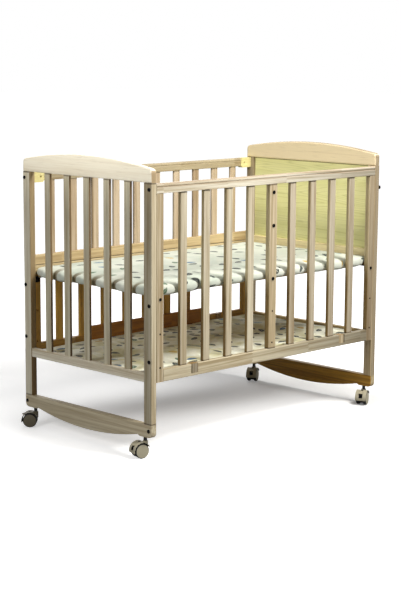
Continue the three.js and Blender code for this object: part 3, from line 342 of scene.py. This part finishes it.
def pine(name, along, mean, cell=SLAT_CELL, board=ONE_BOARD, contrast=1.0, low_shade=1.0,
         high_shade=1.0, seams=(), variety=0.42, painted_falloff=1.0):
    """Planed pine with its grain along one axis. The low and high shades are painted shade, darkening a
    stick below or above the sleeping level, seams are the heights of thin lines of painted shade where it
    meets another piece, variety is the spread of tone between sticks, and the falloff darkens it
    towards the panelled end with painted shade, standing for the lamps' light falling off."""
    along = AXIS[along]
    light, dark = streak_tones(mean)
    material, tree, shader = new_material(name)
    centred = centred_coords(tree)
    place = xyz(tree, centred)
    chance = board_random(tree, place, along, cell, board)
    # coordinates stretched along the grain, moved for each board so that the grain breaks at a joint
    scale = [1.0, 1.0, 1.0]
    scale[along] = GRAIN_STRETCH
    moved = vector_maths(tree, "ADD", chance[1], vector_maths(tree, "MULTIPLY", centred, scale))
    streaks = noise(tree, moved, 105, 5, 0.66, 0.08)
    rings = noise(tree, moved, 26, 2, 0.5, 0.5)
    pores = noise(tree, moved, 620, 2)

    wide = remap(tree, streaks, 0.4, 0.66, 0.0, 0.8 * contrast)
    ring_line = maths(tree, "PINGPONG", times(tree, rings, 5.0), 0.5)
    ring_part = times(tree, maths(tree, "POWER", times(tree, ring_line, 2.0), 3.0), 0.45 * contrast)
    stick_tone = times(tree, maths(tree, "SUBTRACT", chance[0], 0.5), variety)
    tone = maths(tree, "ADD", maths(tree, "ADD", wide, ring_part), stick_tone, clamp=True)
    colour = blend_colour(tree, tone, light, dark)
    colour = blend_colour(tree, remap(tree, pores, 0.6, 0.75, 0.0, 0.35), colour, scaled(dark, 0.6))

    # painted shade below or above the sleeping level
    if low_shade < 1.0 or high_shade < 1.0:
        shade = blend_colour(tree, remap(tree, place[2], *SLEEPING_LEVEL),
                             (low_shade, low_shade ** 1.3, low_shade ** 2, 1),
                             (high_shade, high_shade ** 1.05, high_shade ** 1.1, 1))
        colour = blend_colour(tree, 1.0, colour, shade, "MULTIPLY")
    # painted falloff: the stick darkens towards the panelled end, standing for the lamps' light falling off
    if painted_falloff < 1.0:
        painted_dimming = remap(tree, place[0], *PAINTED_FALLOFF_RUN, 1.0, painted_falloff)
        colour = blend_colour(tree, 1.0, colour, grey(tree, painted_dimming), "MULTIPLY")
    # thin lines of painted shade where the stick meets another piece
    for seam in seams:
        off = maths(tree, "ABSOLUTE", maths(tree, "SUBTRACT", place[2], seam))
        line = times(tree, maths(tree, "LESS_THAN", off, SEAM), 0.62)
        colour = blend_colour(tree, line, colour, SEAM_SHADE_TONE)
    set_inputs(shader, {"Base Color": colour, "Roughness": remap(tree, streaks, 0.0, 1.0, 0.44, 0.6)}, tree)
    bump(tree, shader, streaks, 0.12, 0.0006)
    return material


# %% [markdown]
# ## Giving each timber its grain
# A stick's grain runs along its length. No two sticks of a crib come from the same board, so the parts
# differ in tone: cream front slats, greyer posts and a greyer gate. The brown wood low down at the back
# is painted shade under the mattress. The front rails and the four slats nearest the panelled end are
# painted darker towards that end, standing for the lamps' light falling off. The combs, where slats
# stand in a rail, are one solid with two directions of grain, so their rail faces get a second material
# slot. The darker sawn edges of the slats are painted shade, and several faces that look one way carry
# painted shade or light.

# %% Ways to dress a piece
TO_SLATTED_END = (-1, 0, 0)
TO_FRONT = (0, -1, 0)
UPWARD = (0, 0, 1)


def dress(name, *materials):
    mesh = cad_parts[name].data
    mesh.materials.clear()
    for item in materials:
        mesh.materials.append(item)
    return mesh


def paint(mesh, slot, chosen):
    """Puts the faces that pass a test in another material slot."""
    for face in mesh.polygons:
        if chosen(face):
            face.material_index = slot


def dress_side(name, way, side, least=0.6):
    """Adds a material for the faces that look a given way."""
    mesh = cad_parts[name].data
    mesh.materials.append(side)
    paint(mesh, len(mesh.materials) - 1, lambda face: face.normal.dot(Vector(way)) > least)


def dress_edges(name, main, edge):
    """Gives the faces that look towards the slatted end a material of their own, for painted shade or light
    on that side.
    """
    dress(name, main)
    dress_side(name, TO_SLATTED_END, edge)


def dress_comb(name, upright, rail, top, reach=math.inf):
    """Slats get one material, and the rail below top and within reach of the middle another."""
    mesh = dress(name, upright, rail)
    paint(mesh, 1, lambda face: face.center.z < top + 1e-4 and abs(face.center.x - centre.x) < reach)
    return mesh


rail_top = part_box("front_bottom_rail")[1].z
gate_rail_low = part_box("gate_bottom_rail_and_slats")[0].z
end_seams = (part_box("left_headrail")[0].z - SEAM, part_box("left_post_front")[0].z + SEAM)
front_seams = (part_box("front_top_rail")[0].z - SEAM, rail_top + SEAM)

# %% Posts
# The near posts' outer faces carry painted shade on the front post and painted light on the back post, and
# the back post's front face is painted brown shade low down. The far posts' front faces get a little painted
# shade at the top, and the right front post's inner face carries painted light.
post_pine = pine("post pine", "z", (208, 196, 166), seams=end_seams)
shaded_post_face = pine("post pine, outer face", "z", (172, 163, 139), contrast=1.2, seams=end_seams)
lit_back_post_face = pine("back post pine, outer face", "z", (222, 216, 194), seams=end_seams)
far_post_pine = pine("far post pine", "z", (160, 146, 120))
dress_edges("left_post_front", post_pine, shaded_post_face)
dress_edges("left_post_back", post_pine, lit_back_post_face)
dress_side("left_post_back", TO_FRONT, pine("back post pine, front face in painted brown shade", "z", (158, 138, 102), low_shade=0.62))
for name in ("right_post_front", "right_post_back"):
    dress(name, far_post_pine)
    dress_side(name, TO_FRONT, pine(name + " pine, front face", "z", (162, 148, 122), high_shade=0.95))
dress_side("right_post_front", TO_SLATTED_END,
           pine("right front post pine, inner face with painted light", "z", (212, 194, 158)))

# %% Front side
NOTCH_X = 0.348
NOTCH_HALF = 0.0144
NOTCH_FLOOR = 0.2405

# The sawn edges towards the slatted end are painted shade, darkest below the mattress, and the slats and the
# centre upright get a little painted shade below the mattress. The four slats nearest the panelled end are
# painted darker towards it, and the right stile darker all over, as painted falloff of the lamps' light.
shaded_slat_edge = pine("front slat pine, sawn edge in painted shade", "z", (200, 184, 146), low_shade=0.5, seams=front_seams)
slat_pine = pine("front slat pine", "z", (205, 195, 170), low_shade=0.97, seams=front_seams, variety=0.1)
pink_slat_pine = pine("pinker slat pine", "z", (208, 196, 172), low_shade=0.94, seams=front_seams,
                      variety=0.16, painted_falloff=0.68)
for number in range(1, 9):
    dress_edges(f"front_slat_{number}", slat_pine if number < 5 else pink_slat_pine, shaded_slat_edge)
dress_edges("front_stile_left", pine("stile pine", "z", (197, 183, 154), contrast=1.2), shaded_slat_edge)
dress_edges("front_stile_right", pine("right stile pine", "z", (162, 147, 121), contrast=1.2), shaded_slat_edge)
dress_edges("front_centre_upright", pine("centre upright pine", "z", (194, 178, 147), low_shade=0.88,
                                         seams=front_seams), shaded_slat_edge)

# The top rail's rounded top is painted shade, and both rails are painted darker towards the panelled end as
# painted falloff of the lamps' light.
dress("front_top_rail", pine("top rail pine", "x", (222, 215, 195), RAIL_CELL, JOINTS, contrast=1.1,
                             painted_falloff=0.54))
dress_side("front_top_rail", UPWARD,
           pine("top rail pine, rounded top in painted shade", "x", (190, 176, 156), RAIL_CELL, JOINTS, contrast=1.4), 0.5)
bottom_rail = dress("front_bottom_rail",
                    pine("bottom rail pine", "x", (206, 195, 166), RAIL_CELL, JOINTS, contrast=1.2,
                         variety=0.2, painted_falloff=0.42),
                    pine("notch end grain in painted shade", "y", (92, 74, 50), END_CELL, contrast=0.6))


# The notch's end-grain walls and its floor take a dark tone, partly real end grain and partly painted shade
# in the recess.
def in_notch(face):
    beside = abs(abs(face.center.x - centre.x) - NOTCH_X) < NOTCH_HALF
    return beside and face.center.z > NOTCH_FLOOR and (abs(face.normal.x) > 0.9 or face.normal.z > 0.9)


paint(bottom_rail, 1, in_notch)

# %% Ends
dress("left_headrail", pine("near headrail pine", "y", (252, 243, 219), END_CELL, contrast=0.5))
dress_side("left_headrail", TO_FRONT, pine("near headrail end grain", "z", (186, 166, 132)), 0.8)
dress("right_headrail", pine("far headrail pine", "y", (216, 198, 160), END_CELL, contrast=0.35))
# the far headrail's top and front faces are painted shade
for way in (UPWARD, TO_FRONT):
    dress_side("right_headrail", way, pine("far headrail edge in painted shade", "y", (160, 144, 116), END_CELL), 0.8)
dress("left_rocker", pine("near rocker pine", "y", (201, 189, 160), END_CELL))
# the far rocker's inner face, under the mattress, is painted brown shade
dress_edges("right_rocker", pine("far rocker pine", "y", (196, 180, 144), END_CELL),
            pine("far rocker pine, inner face in painted brown shade", "y", (198, 150, 56), END_CELL, contrast=1.5))
dress("right_mid_rail", pine("far mid rail pine", "y", (236, 220, 172), END_CELL))
dress("right_bottom_rail", pine("far bottom rail pine", "y", (206, 184, 136), END_CELL))
left_comb = dress_comb("left_bottom_rail_and_slats",
                       pine("end slat pine", "z", (196, 188, 162), seams=end_seams[:1]),
                       pine("near end rail pine", "y", (236, 229, 208), END_CELL),
                       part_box("right_bottom_rail")[1].z)
left_comb.materials.append(pine("end slat pine, shaded side", "z", (112, 90, 58), low_shade=0.6))
paint(left_comb, 2, lambda face: face.material_index == 0 and face.normal.y < -0.6)

# %% Back and gate
BACK_RAIL_REACH = 0.476
GATE_RAIL_HEIGHT = 0.032

dress("back_lower_top_rail", pine("back upper rail pine", "x", (196, 178, 138), RAIL_CELL, JOINTS))
# the board inside the back, under the mattress, is painted brown shade
dress("back_inner_board", pine("board pine, reddish from painted shade", "x", (164, 108, 30), RAIL_CELL, JOINTS))
# the lower back frame is painted brown shade towards the inside only; its outer faces match the gate's
back_comb = dress_comb("back_lower_rail_and_slats",
                       pine("upright pine in painted brown shade", "z", (201, 157, 70), BACK_SLAT_CELL),
                       pine("pine along the back in painted brown shade", "x", (180, 138, 62), RAIL_CELL, JOINTS,
                            contrast=1.2), rail_top, BACK_RAIL_REACH)
back_comb.materials.append(pine("back upright pine, outer face", "z", (192, 173, 142)))
back_comb.materials.append(pine("back rail pine, outer face", "x", (190, 170, 130), RAIL_CELL, JOINTS))
for face in back_comb.polygons:
    if face.normal.y > 0.6:
        face.material_index += 2

dress("gate_top_rail", pine("gate rail pine", "x", (170, 156, 126), RAIL_CELL, JOINTS))
dress_comb("gate_bottom_rail_and_slats", pine("gate slat pine", "z", (186, 167, 141)),
           pine("gate lower rail pine", "x", (190, 168, 126), RAIL_CELL, JOINTS),
           gate_rail_low + GATE_RAIL_HEIGHT)
block_pine = pine("yellow pine blocks", "x", (214, 203, 142), contrast=0.5)
for name in ("gate_end_block_left", "gate_end_block_right"):
    dress(name, block_pine)

# %% Boards and cross bars
for name in ("platform_board", "storage_board"):
    dress(name, pine("warm board pine " + name, "x", (206, 180, 126), RAIL_CELL, JOINTS))
bar_pine = pine("cross bar pine", "y", (168, 136, 86), END_CELL, contrast=1.3)
for name, tone in (("cross_bar_left", (160, 150, 128)), ("cross_bar_right", (192, 176, 144))):
    mesh = dress(name, bar_pine, pine(name + " end grain", "z", tone, contrast=1.3))
    paint(mesh, 1, lambda face: face.normal.y < -0.6 and face.center.y < centre.y - 0.25)

# %% [markdown]
# ## End panel
# The far end is filled with a thin board whose face has a pale yellow-green tint and a clear figure:
# long horizontal lines that open into flat arches. Noise that is stretched along the board and cut
# into thin contour lines gives that figure. A thin line of painted shade runs just below the headrail.

# %% Panel material
FIGURE_STRETCH = (1, 0.5, 12)
FIGURE_LINES = 24.0
SHADE_LINE_DEPTH = 0.004


def panel_material():
    material, tree, shader = new_material("tinted panel wood")
    coords = object_coords(tree)
    stretched = node(tree, "ShaderNodeMapping", {"Vector": coords, "Scale": FIGURE_STRETCH}).outputs[0]
    figure = noise(tree, stretched, 1.7, 2, 0.4, 0.25)
    contour = maths(tree, "PINGPONG", times(tree, figure, FIGURE_LINES), 0.5)
    line = maths(tree, "POWER", maths(tree, "SUBTRACT", 1.0, times(tree, contour, 2.0)), 4.0)
    fine = noise(tree, stretched, 60, 3)
    broad = noise(tree, stretched, 5, 1)
    # painted shade in a thin line just below the headrail
    line_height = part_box("right_headrail")[0].z - SHADE_LINE_DEPTH
    shade_under_headrail = maths(tree, "GREATER_THAN", xyz(tree, coords)[2], line_height)
    colour = blend_colour(tree, broad, srgb(244, 240, 184), srgb(222, 219, 148))
    for mask, share, ink in ((line, 0.45, srgb(176, 172, 106)), (fine, 0.25, srgb(196, 192, 122)),
                             (shade_under_headrail, 0.7, srgb(70, 54, 28))):
        colour = blend_colour(tree, times(tree, mask, share), colour, ink)
    set_inputs(shader, {"Base Color": colour, "Roughness": 0.42}, tree)
    return material


dress("right_panel", panel_material())

# %% [markdown]
# ## Fittings
# Bolts and hinges are bought-in steel: the bolts and brackets are blackened, the hinges and latch pins
# zinc plated. Zinc shows slightly cloudy patches, so its roughness and tone drift with a fine noise.

# %% Metals


def metal(name, colour, rough, metallic, patch):
    material, tree, shader = new_material(name)
    cloud = noise(tree, object_coords(tree), 90, 3)
    set_inputs(shader, {"Base Color": blend_colour(tree, cloud, colour, scaled(colour, 1 - patch)),
                        "Metallic": metallic, "Specular IOR Level": 0.5 if metallic > 0.5 else 0.12,
                        "Roughness": remap(tree, cloud, 0.0, 1.0, rough - 0.08, rough + 0.12)}, tree)
    return material


black_steel = metal("black bolts and brackets", srgb(14, 12, 11), 0.55, 0.0, 0.3)
zinc = metal("zinc plate", srgb(190, 190, 186), 0.32, 1.0, 0.25)
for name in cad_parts:
    if name.startswith("platform_bracket"):
        dress(name, black_steel)
    elif name.startswith(("hinge", "latch_pin")):
        dress(name, zinc)

# %% [markdown]
# ## Caster plastic
# The hoods and wheel discs are moulded in beige-grey plastic with a slight grain. The stem, the hollow
# between the two wheels and the treads are black. One caster is darker than the rest and one a little
# darker.

# %% Caster materials
STEM_LOW = 0.0512
STEM_SURE = 0.06
HOOD_INSIDE = 0.0262
HOOD_RIM = 0.0248
HOLLOW_HALF = 0.0068
DISC_RADIUS = 0.0203
DISC_INNER = 0.0078


def plastic(name, colour, rough=0.42):
    material, tree, shader = new_material(name)
    mottle = noise(tree, object_coords(tree), 180, 3)
    set_inputs(shader, {"Base Color": blend_colour(tree, mottle, colour, scaled(colour, 0.86)),
                        "Roughness": rough}, tree)
    bump(tree, shader, mottle, 0.08, 0.0004)
    return material


def caster_faces(corner, shell):
    """Blackens the stem, the hollow between the wheels and the treads, found by place about the axle."""
    low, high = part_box(f"caster_{corner}_wheels")
    axle = (low + high) / 2
    hood = dress(f"caster_{corner}_hood", shell, black_plastic)
    wheels = dress(f"caster_{corner}_wheels", shell, black_plastic)
    dress(f"caster_{corner}_brake", shell, black_plastic)
    stem_points = [v.co for v in hood.vertices if v.co.z > STEM_SURE]
    stem = Vector((0, 0, 0))
    for point in stem_points:
        stem += point / len(stem_points)
    ahead = Vector((stem.x - axle.x, stem.y - axle.y, 0)).normalized()
    aside = Vector((-ahead.y, ahead.x, 0))

    def about_axle(face):
        offset = face.center - axle
        return math.hypot(offset.dot(ahead), offset.z), abs(offset.dot(aside))

    def dark_on_hood(face):
        reach, off_middle = about_axle(face)
        inside = reach < HOOD_INSIDE and (off_middle < HOLLOW_HALF or reach > HOOD_RIM)
        return face.center.z > STEM_LOW or inside

    def dark_on_wheels(face):
        reach, off_middle = about_axle(face)
        return reach > DISC_RADIUS or off_middle < DISC_INNER

    paint(hood, 1, dark_on_hood)
    paint(wheels, 1, dark_on_wheels)


black_plastic = plastic("black caster plastic", srgb(26, 23, 20), 0.45)
beige_plastic = plastic("beige caster plastic", srgb(190, 182, 156))
darker_beige_plastic = plastic("darker beige caster plastic", srgb(172, 161, 131))
dark_plastic = plastic("dark caster plastic", srgb(112, 104, 84))
for corner, shell in (("left_front", beige_plastic), ("left_back", dark_plastic),
                      ("right_front", beige_plastic), ("right_back", darker_beige_plastic)):
    caster_faces(corner, shell)

# %% [markdown]
# ## Padding
# Both pads are covered in thin off-white cotton printed with small scattered leaves. The leaves are
# drawn by a Voronoi texture: each cell holds one slightly bent leaf with a pale vein, turned by the
# cell's own random angle, and some cells stay empty.

# %% Fabric material
EMPTY_CELLS = 0.18
LEAF_BEND = 0.7
VEIN_HALF = 0.0006
# the tone of the painted shade in the tucks beside the slats
CREASE_SHADE_TONE = srgb(92, 80, 46)
INKS = ((0.0, srgb(30, 48, 42)), (0.45, srgb(22, 30, 28)), (0.82, srgb(36, 96, 136)),
        (0.88, srgb(84, 112, 84)), (0.95, srgb(196, 166, 80)))


def printed_leaves(tree, coords, spacing, half_length, half_width):
    """The mask and the ink of the print. Lengths in the cells' plane are shares of the spacing."""
    # height is taken off both plan coordinates, so that the print also runs down the sides
    plan = xyz(tree, coords)
    flat = node(tree, "ShaderNodeCombineXYZ", {
        k: maths(tree, "DIVIDE", maths(tree, "SUBTRACT", plan[k], plan[2]), spacing) for k in (0, 1)
    }).outputs[0]
    cells = node(tree, "ShaderNodeTexVoronoi", {"Vector": flat, "Scale": 1.0, "Randomness": 0.8},
                 voronoi_dimensions="2D", feature="F1")
    local = vector_maths(tree, "SUBTRACT", flat, cells.outputs["Position"])
    chance = node(tree, "ShaderNodeSeparateColor", {"Color": cells.outputs["Color"]}).outputs
    turned = node(tree, "ShaderNodeVectorRotate", {"Vector": local, "Angle": times(tree, chance[0], 3.1416)},
                  rotation_type="Z_AXIS").outputs[0]
    leaf_x, leaf_y, _ = xyz(tree, turned)
    off_vein = maths(tree, "ABSOLUTE", maths(tree, "ADD", leaf_y,
                                             times(tree, times(tree, leaf_x, leaf_x), LEAF_BEND)))
    length = maths(tree, "DIVIDE", leaf_x, half_length / spacing)
    width = maths(tree, "DIVIDE", off_vein, half_width / spacing)
    leaf = maths(tree, "LESS_THAN", maths(tree, "ADD", times(tree, length, length), width), 1.0)
    vein = maths(tree, "LESS_THAN", off_vein, VEIN_HALF / spacing)
    mask = times(tree, leaf, maths(tree, "SUBTRACT", 1.0, times(tree, vein, 0.5)))
    mask = times(tree, mask, maths(tree, "GREATER_THAN", chance[1], EMPTY_CELLS))
    ink = node(tree, "ShaderNodeValToRGB", {0: chance[2]})
    ramp = ink.color_ramp
    ramp.interpolation = "CONSTANT"
    ramp.elements.remove(ramp.elements[1])
    ramp.elements[0].color = INKS[0][1]
    for position, tone in INKS[1:]:
        ramp.elements.new(position).color = tone
    return times(tree, mask, 0.97), ink.outputs[0]


def printed_cotton(name, base, shade, spacing, half_length, half_width, fold_scale):
    """spacing is the distance between prints, and fold_scale the scale of the soft drift towards the shade
    tone, which is painted shade of folds.
    """
    material, tree, shader = new_material(name)
    coords = object_coords(tree)
    mask, ink = printed_leaves(tree, coords, spacing, half_length, half_width)
    # a soft drift towards the shade tone: painted shade of folds, in patches that the shape does not hold
    drift = remap(tree, noise(tree, coords, fold_scale, 3, distortion=0.8), 0.38, 0.66)
    colour = blend_colour(tree, mask, blend_colour(tree, drift, base, shade), ink)
    # painted shade in the tucks beside the slats, from the mesh's attribute
    in_crease_shade = node(tree, "ShaderNodeAttribute", attribute_name="crease_shade").outputs["Fac"]
    colour = blend_colour(tree, in_crease_shade, colour, CREASE_SHADE_TONE)
    set_inputs(shader, {"Base Color": colour, "Roughness": 0.9, "Sheen Weight": 0.15}, tree)
    weave = times(tree, noise(tree, coords, 900, 2), 0.12)
    wrinkle = noise(tree, coords, 24, 4, distortion=0.6)
    bump(tree, shader, maths(tree, "ADD", weave, wrinkle), 0.35, 0.003)
    return material


mattress_cotton = printed_cotton("mattress cotton", srgb(214, 217, 203), srgb(194, 202, 187), 0.075,
                                 0.020, 0.0105, 7)
pad_cotton = printed_cotton("shelf pad cotton", srgb(250, 251, 234), srgb(208, 202, 154), 0.062,
                            0.020, 0.0098, 11)

# %% [markdown]
# ## Mattress
# The mattress is stuffed and fills its space: it swells out between the slats and is pinched where a
# slat presses, and each pinch runs inward as a crease. The simulation starts from the plain pad,
# remeshed evenly, and blows it up a little; the creases are then pressed in.

# %% Mattress by cloth simulation


def merged_copy(node_name, name):
    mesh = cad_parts[node_name].data.copy()
    piece = bpy.data.objects.new(name, mesh)
    bpy.context.collection.objects.link(piece)
    work = bmesh.new()
    work.from_mesh(mesh)
    bmesh.ops.remove_doubles(work, verts=work.verts, dist=1e-5)
    work.to_mesh(mesh)
    work.free()
    mesh.materials.clear()
    return piece


def remesh(piece, size):
    select_only(piece)
    modifier = piece.modifiers.new("even cloth", "REMESH")
    modifier.mode = "VOXEL"
    modifier.voxel_size = size
    bpy.ops.object.modifier_apply(modifier=modifier.name)


def points(piece):
    flat = np.empty(len(piece.data.vertices) * 3, np.float32)
    piece.data.vertices.foreach_get("co", flat)
    return flat.reshape(-1, 3).astype(float)


def set_points(piece, values):
    piece.data.vertices.foreach_set("co", values.astype(np.float32).ravel())
    piece.data.update()


def clothe(piece, cotton):
    piece.data.materials.append(cotton)
    for face in piece.data.polygons:
        face.use_smooth = True


mattress = merged_copy("mattress", "mattress_cover")
remesh(mattress, 0.006)
start = points(mattress)
print("mattress vertices:", len(start))

# %% Blow it up
MOST_SWELL = 0.006
SIMULATED_FRAMES = 12

select_only(mattress)
cloth = mattress.modifiers.new("stuffing", "CLOTH")
cloth.settings.use_pressure = True
cloth.settings.uniform_pressure_force = 4
cloth.settings.effector_weights.gravity = 0
cloth.settings.quality = 4
for step in range(1, SIMULATED_FRAMES + 1):
    bpy.context.scene.frame_set(step)
depsgraph = bpy.context.evaluated_depsgraph_get()
blown = np.array([v.co for v in mattress.evaluated_get(depsgraph).data.vertices], float)
mattress.modifiers.clear()
bpy.context.scene.frame_set(1)
move = blown - start
far = np.linalg.norm(move, axis=1, keepdims=True)
move *= np.minimum(1, MOST_SWELL / np.maximum(far, 1e-9))
print("largest swell in mm:", round(float(far.max()) * 1000, 1))
set_points(mattress, start + move)

# %% Press the creases and hold the edges clear of the wood
FRONT_SPACING = 0.098
END_SPACING = (0.294 * 2 - 0.028) / 6
CREASE_DEPTH = 0.0065
OVERHANG = 0.0045
DRAWN_IN = 0.004

slat_x = [centre.x + k * FRONT_SPACING for k in range(-4, 5)]
slat_y = [centre.y + (k - 2) * END_SPACING for k in range(5)]


def shifted(marks, shift):
    return [mark - shift for mark in marks]


def nearest(values, marks):
    gaps = np.abs(values[:, None] - np.array(marks)[None, :])
    return gaps.min(1)


def at_marks(values, marks, width):
    """1 at each mark, fading out over about twice the width."""
    return np.exp(-(nearest(values, marks) / width) ** 2)


def near_edge(inward, reach):
    """1 at an edge of the pad, falling to 0 at the reach."""
    return np.clip(1 - inward / reach, 0, 1)


def off_marks(values, marks, reach=0.03):
    return np.clip(nearest(values, marks) / reach, 0, 1)


mattress_low, mattress_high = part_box("mattress")
shape = points(mattress)
from_front = shape[:, 1] - mattress_low.y
from_left = shape[:, 0] - mattress_low.x
upper = np.clip((shape[:, 2] - mattress_low.z) / (mattress_high.z - mattress_low.z), 0, 1)
front_line = at_marks(shape[:, 0], shifted(slat_x, 0.012), 0.009) * near_edge(from_front, 0.15)
left_line = at_marks(shape[:, 1], shifted(slat_y, 0.014), 0.010) * near_edge(from_left, 0.13)
shape[:, 2] -= CREASE_DEPTH * np.maximum(front_line, left_line) * upper
# between the slats the stuffing hangs over the edge of the board
over_front = near_edge(from_front, 0.022) * off_marks(shape[:, 0], slat_x)
over_left = near_edge(from_left, 0.025) * off_marks(shape[:, 1], slat_y)
shape[:, 2] -= OVERHANG * np.maximum(over_front, over_left) * (1 - upper)
# at the slats the cloth is drawn in
edge_front = near_edge(from_front, 0.03) * at_marks(shape[:, 0], slat_x, 0.009)
edge_left = near_edge(from_left, 0.03) * at_marks(shape[:, 1], slat_y, 0.009)
shape[:, 1] += DRAWN_IN * edge_front
shape[:, 0] += DRAWN_IN * edge_left
set_points(mattress, shape)

# %% Mark the painted shade in the tucks beside the slats
SOFT_SIDE = 0.003


def crease_shade(values, marks, half_width, inward, reach):
    """Full painted shade within half_width of a mark, fading out inward from the edge."""
    return np.clip((half_width - nearest(values, marks)) / SOFT_SIDE + 0.5, 0, 1) * near_edge(inward, reach)


front_crease_shade = crease_shade(shape[:, 0], shifted(slat_x, 0.018), 0.003, from_front, 0.12) * (from_left > 0.03)
left_crease_shade = crease_shade(shape[:, 1], shifted(slat_y, 0.012), 0.013, from_left - 0.02, 0.06) * (from_front > 0.02)
layer = mattress.data.attributes.new("crease_shade", "FLOAT", "POINT")
layer.data.foreach_set("value", np.clip(np.maximum(front_crease_shade, left_crease_shade), 0, 1).astype(np.float32))
clothe(mattress, mattress_cotton)
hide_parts("mattress")
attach(mattress, "crib")

# %% [markdown]
# ## Shelf pad
# The lower pad is thin and loose. It lies in soft waves over its board, so it is drawn with broad folds
# rather than stuffing. Its underside stays flat on the board.

# %% Shelf pad with soft folds
FOLD_HEIGHT = 0.0045

shelf_pad = merged_copy("storage_pad", "shelf_pad_cover")
remesh(shelf_pad, 0.004)
shape = points(shelf_pad)
pad_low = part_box("storage_pad")[0]
rise = np.clip((shape[:, 2] - pad_low.z - 0.003) / 0.008, 0, 1)
fold = (np.sin(shape[:, 0] * 21 + 2.2 * np.sin(shape[:, 1] * 9)) * 0.5
        + np.sin(shape[:, 0] * 9 - shape[:, 1] * 17 + 1.3) * 0.5)
shape[:, 2] += FOLD_HEIGHT * fold * rise
set_points(shelf_pad, shape)
print("shelf pad vertices:", len(shape))
clothe(shelf_pad, pad_cotton)
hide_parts("storage_pad")
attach(shelf_pad, "crib")

# %% [markdown]
# ## Bolt heads
# Every joint between the ends and the sides is pulled up by a bolt with a round, sunk head. One head is
# modelled from a cylinder: its top is inset and pushed in for the socket, and its rim is softened. The
# rest are copies, turned to face out of their holes. One bolt on the right front post stands taller.

# %% Model one bolt head and copy it
HEAD_STAND = 0.0012
POST_BOLTS = ((0.291, 0.811), (0.291, 0.466), (0.291, 0.297), (0.289, 0.085))
UPRIGHT_BOLT_HEIGHTS = (0.772, 0.666, 0.496)


def bolt_head(name, radius, height):
    bpy.ops.mesh.primitive_cylinder_add(vertices=24, radius=radius, depth=height, location=(0, 0, 0))
    head = bpy.context.object
    head.name = name
    bpy.ops.object.mode_set(mode="EDIT")
    bpy.ops.mesh.select_all(action="DESELECT")
    work = bmesh.from_edit_mesh(head.data)
    work.faces.ensure_lookup_table()
    for face in work.faces:
        face.select_set(face.normal.z > 0.9)
    bmesh.update_edit_mesh(head.data)
    bpy.ops.mesh.inset(thickness=radius * 0.45)
    bpy.ops.mesh.extrude_region_move(TRANSFORM_OT_translate={"value": (0, 0, -height * 0.6)})
    bpy.ops.object.mode_set(mode="OBJECT")
    bevel = head.modifiers.new("soft rim", "BEVEL")
    bevel.width = radius * 0.16
    bevel.segments = 2
    bevel.limit_method = "ANGLE"
    bpy.ops.object.modifier_apply(modifier=bevel.name)
    return head


def copies_at(pattern, places, name):
    """Joins copies of pattern, each put at a place and turned so that its +Z faces along the given way."""
    made = []
    for place, way in places:
        item = pattern.copy()
        item.data = pattern.data.copy()
        bpy.context.collection.objects.link(item)
        turn = Vector(way).to_track_quat("Z", "Y").to_matrix().to_4x4()
        item.data.transform(Matrix.Translation(Vector(place)) @ turn)
        made.append(item)
    select_only(*made)
    if len(made) > 1:
        bpy.ops.object.join()
    made[0].name = name
    bpy.data.objects.remove(pattern)
    return made[0]


outer_x = abs(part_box("left_post_front")[0].x - centre.x)
places = [((centre.x + end * (outer_x + HEAD_STAND), centre.y + side * across, height), (end, 0, 0))
          for side in (-1, 1) for end in (-1, 1) for across, height in POST_BOLTS]
front_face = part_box("front_centre_upright")[0].y
places += [((centre.x, front_face - HEAD_STAND, height), TO_FRONT) for height in UPRIGHT_BOLT_HEIGHTS]
bolt_heads = copies_at(bolt_head("bolt pattern", 0.0058, 0.003), places, "bolt_heads")
side_bolt = copies_at(bolt_head("tall bolt pattern", 0.0065, 0.007),
                      [((centre.x + outer_x + 0.003, centre.y - 0.2955, 0.756), (1, 0, 0))], "side_bolt")
select_only(bolt_heads, side_bolt)
bpy.ops.object.join()
bolt_heads.data.materials.append(black_steel)
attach(bolt_heads, "crib")

# %% Threaded inserts in the spare holes, black, partly standing for the shade inside the holes
INSERT_SUNK = 0.0036
STILE_HOLES = (0.378, 0.276)
UPRIGHT_HOLES = (0.391, 0.289)

places = []
for name, heights in (("front_stile_left", STILE_HOLES), ("front_stile_right", STILE_HOLES),
                      ("front_centre_upright", UPRIGHT_HOLES)):
    low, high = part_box(name)
    places += [(((low.x + high.x) / 2, low.y + INSERT_SUNK, height), TO_FRONT) for height in heights]
# the black inserts are partly real fittings and partly painted shade inside the holes
inserts = copies_at(bolt_head("insert pattern", 0.00345, 0.006), places, "threaded_inserts_and_hole_shade")
inserts.data.materials.append(black_steel)
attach(inserts, "crib")

# %% Update the scene
bpy.context.view_layer.update()
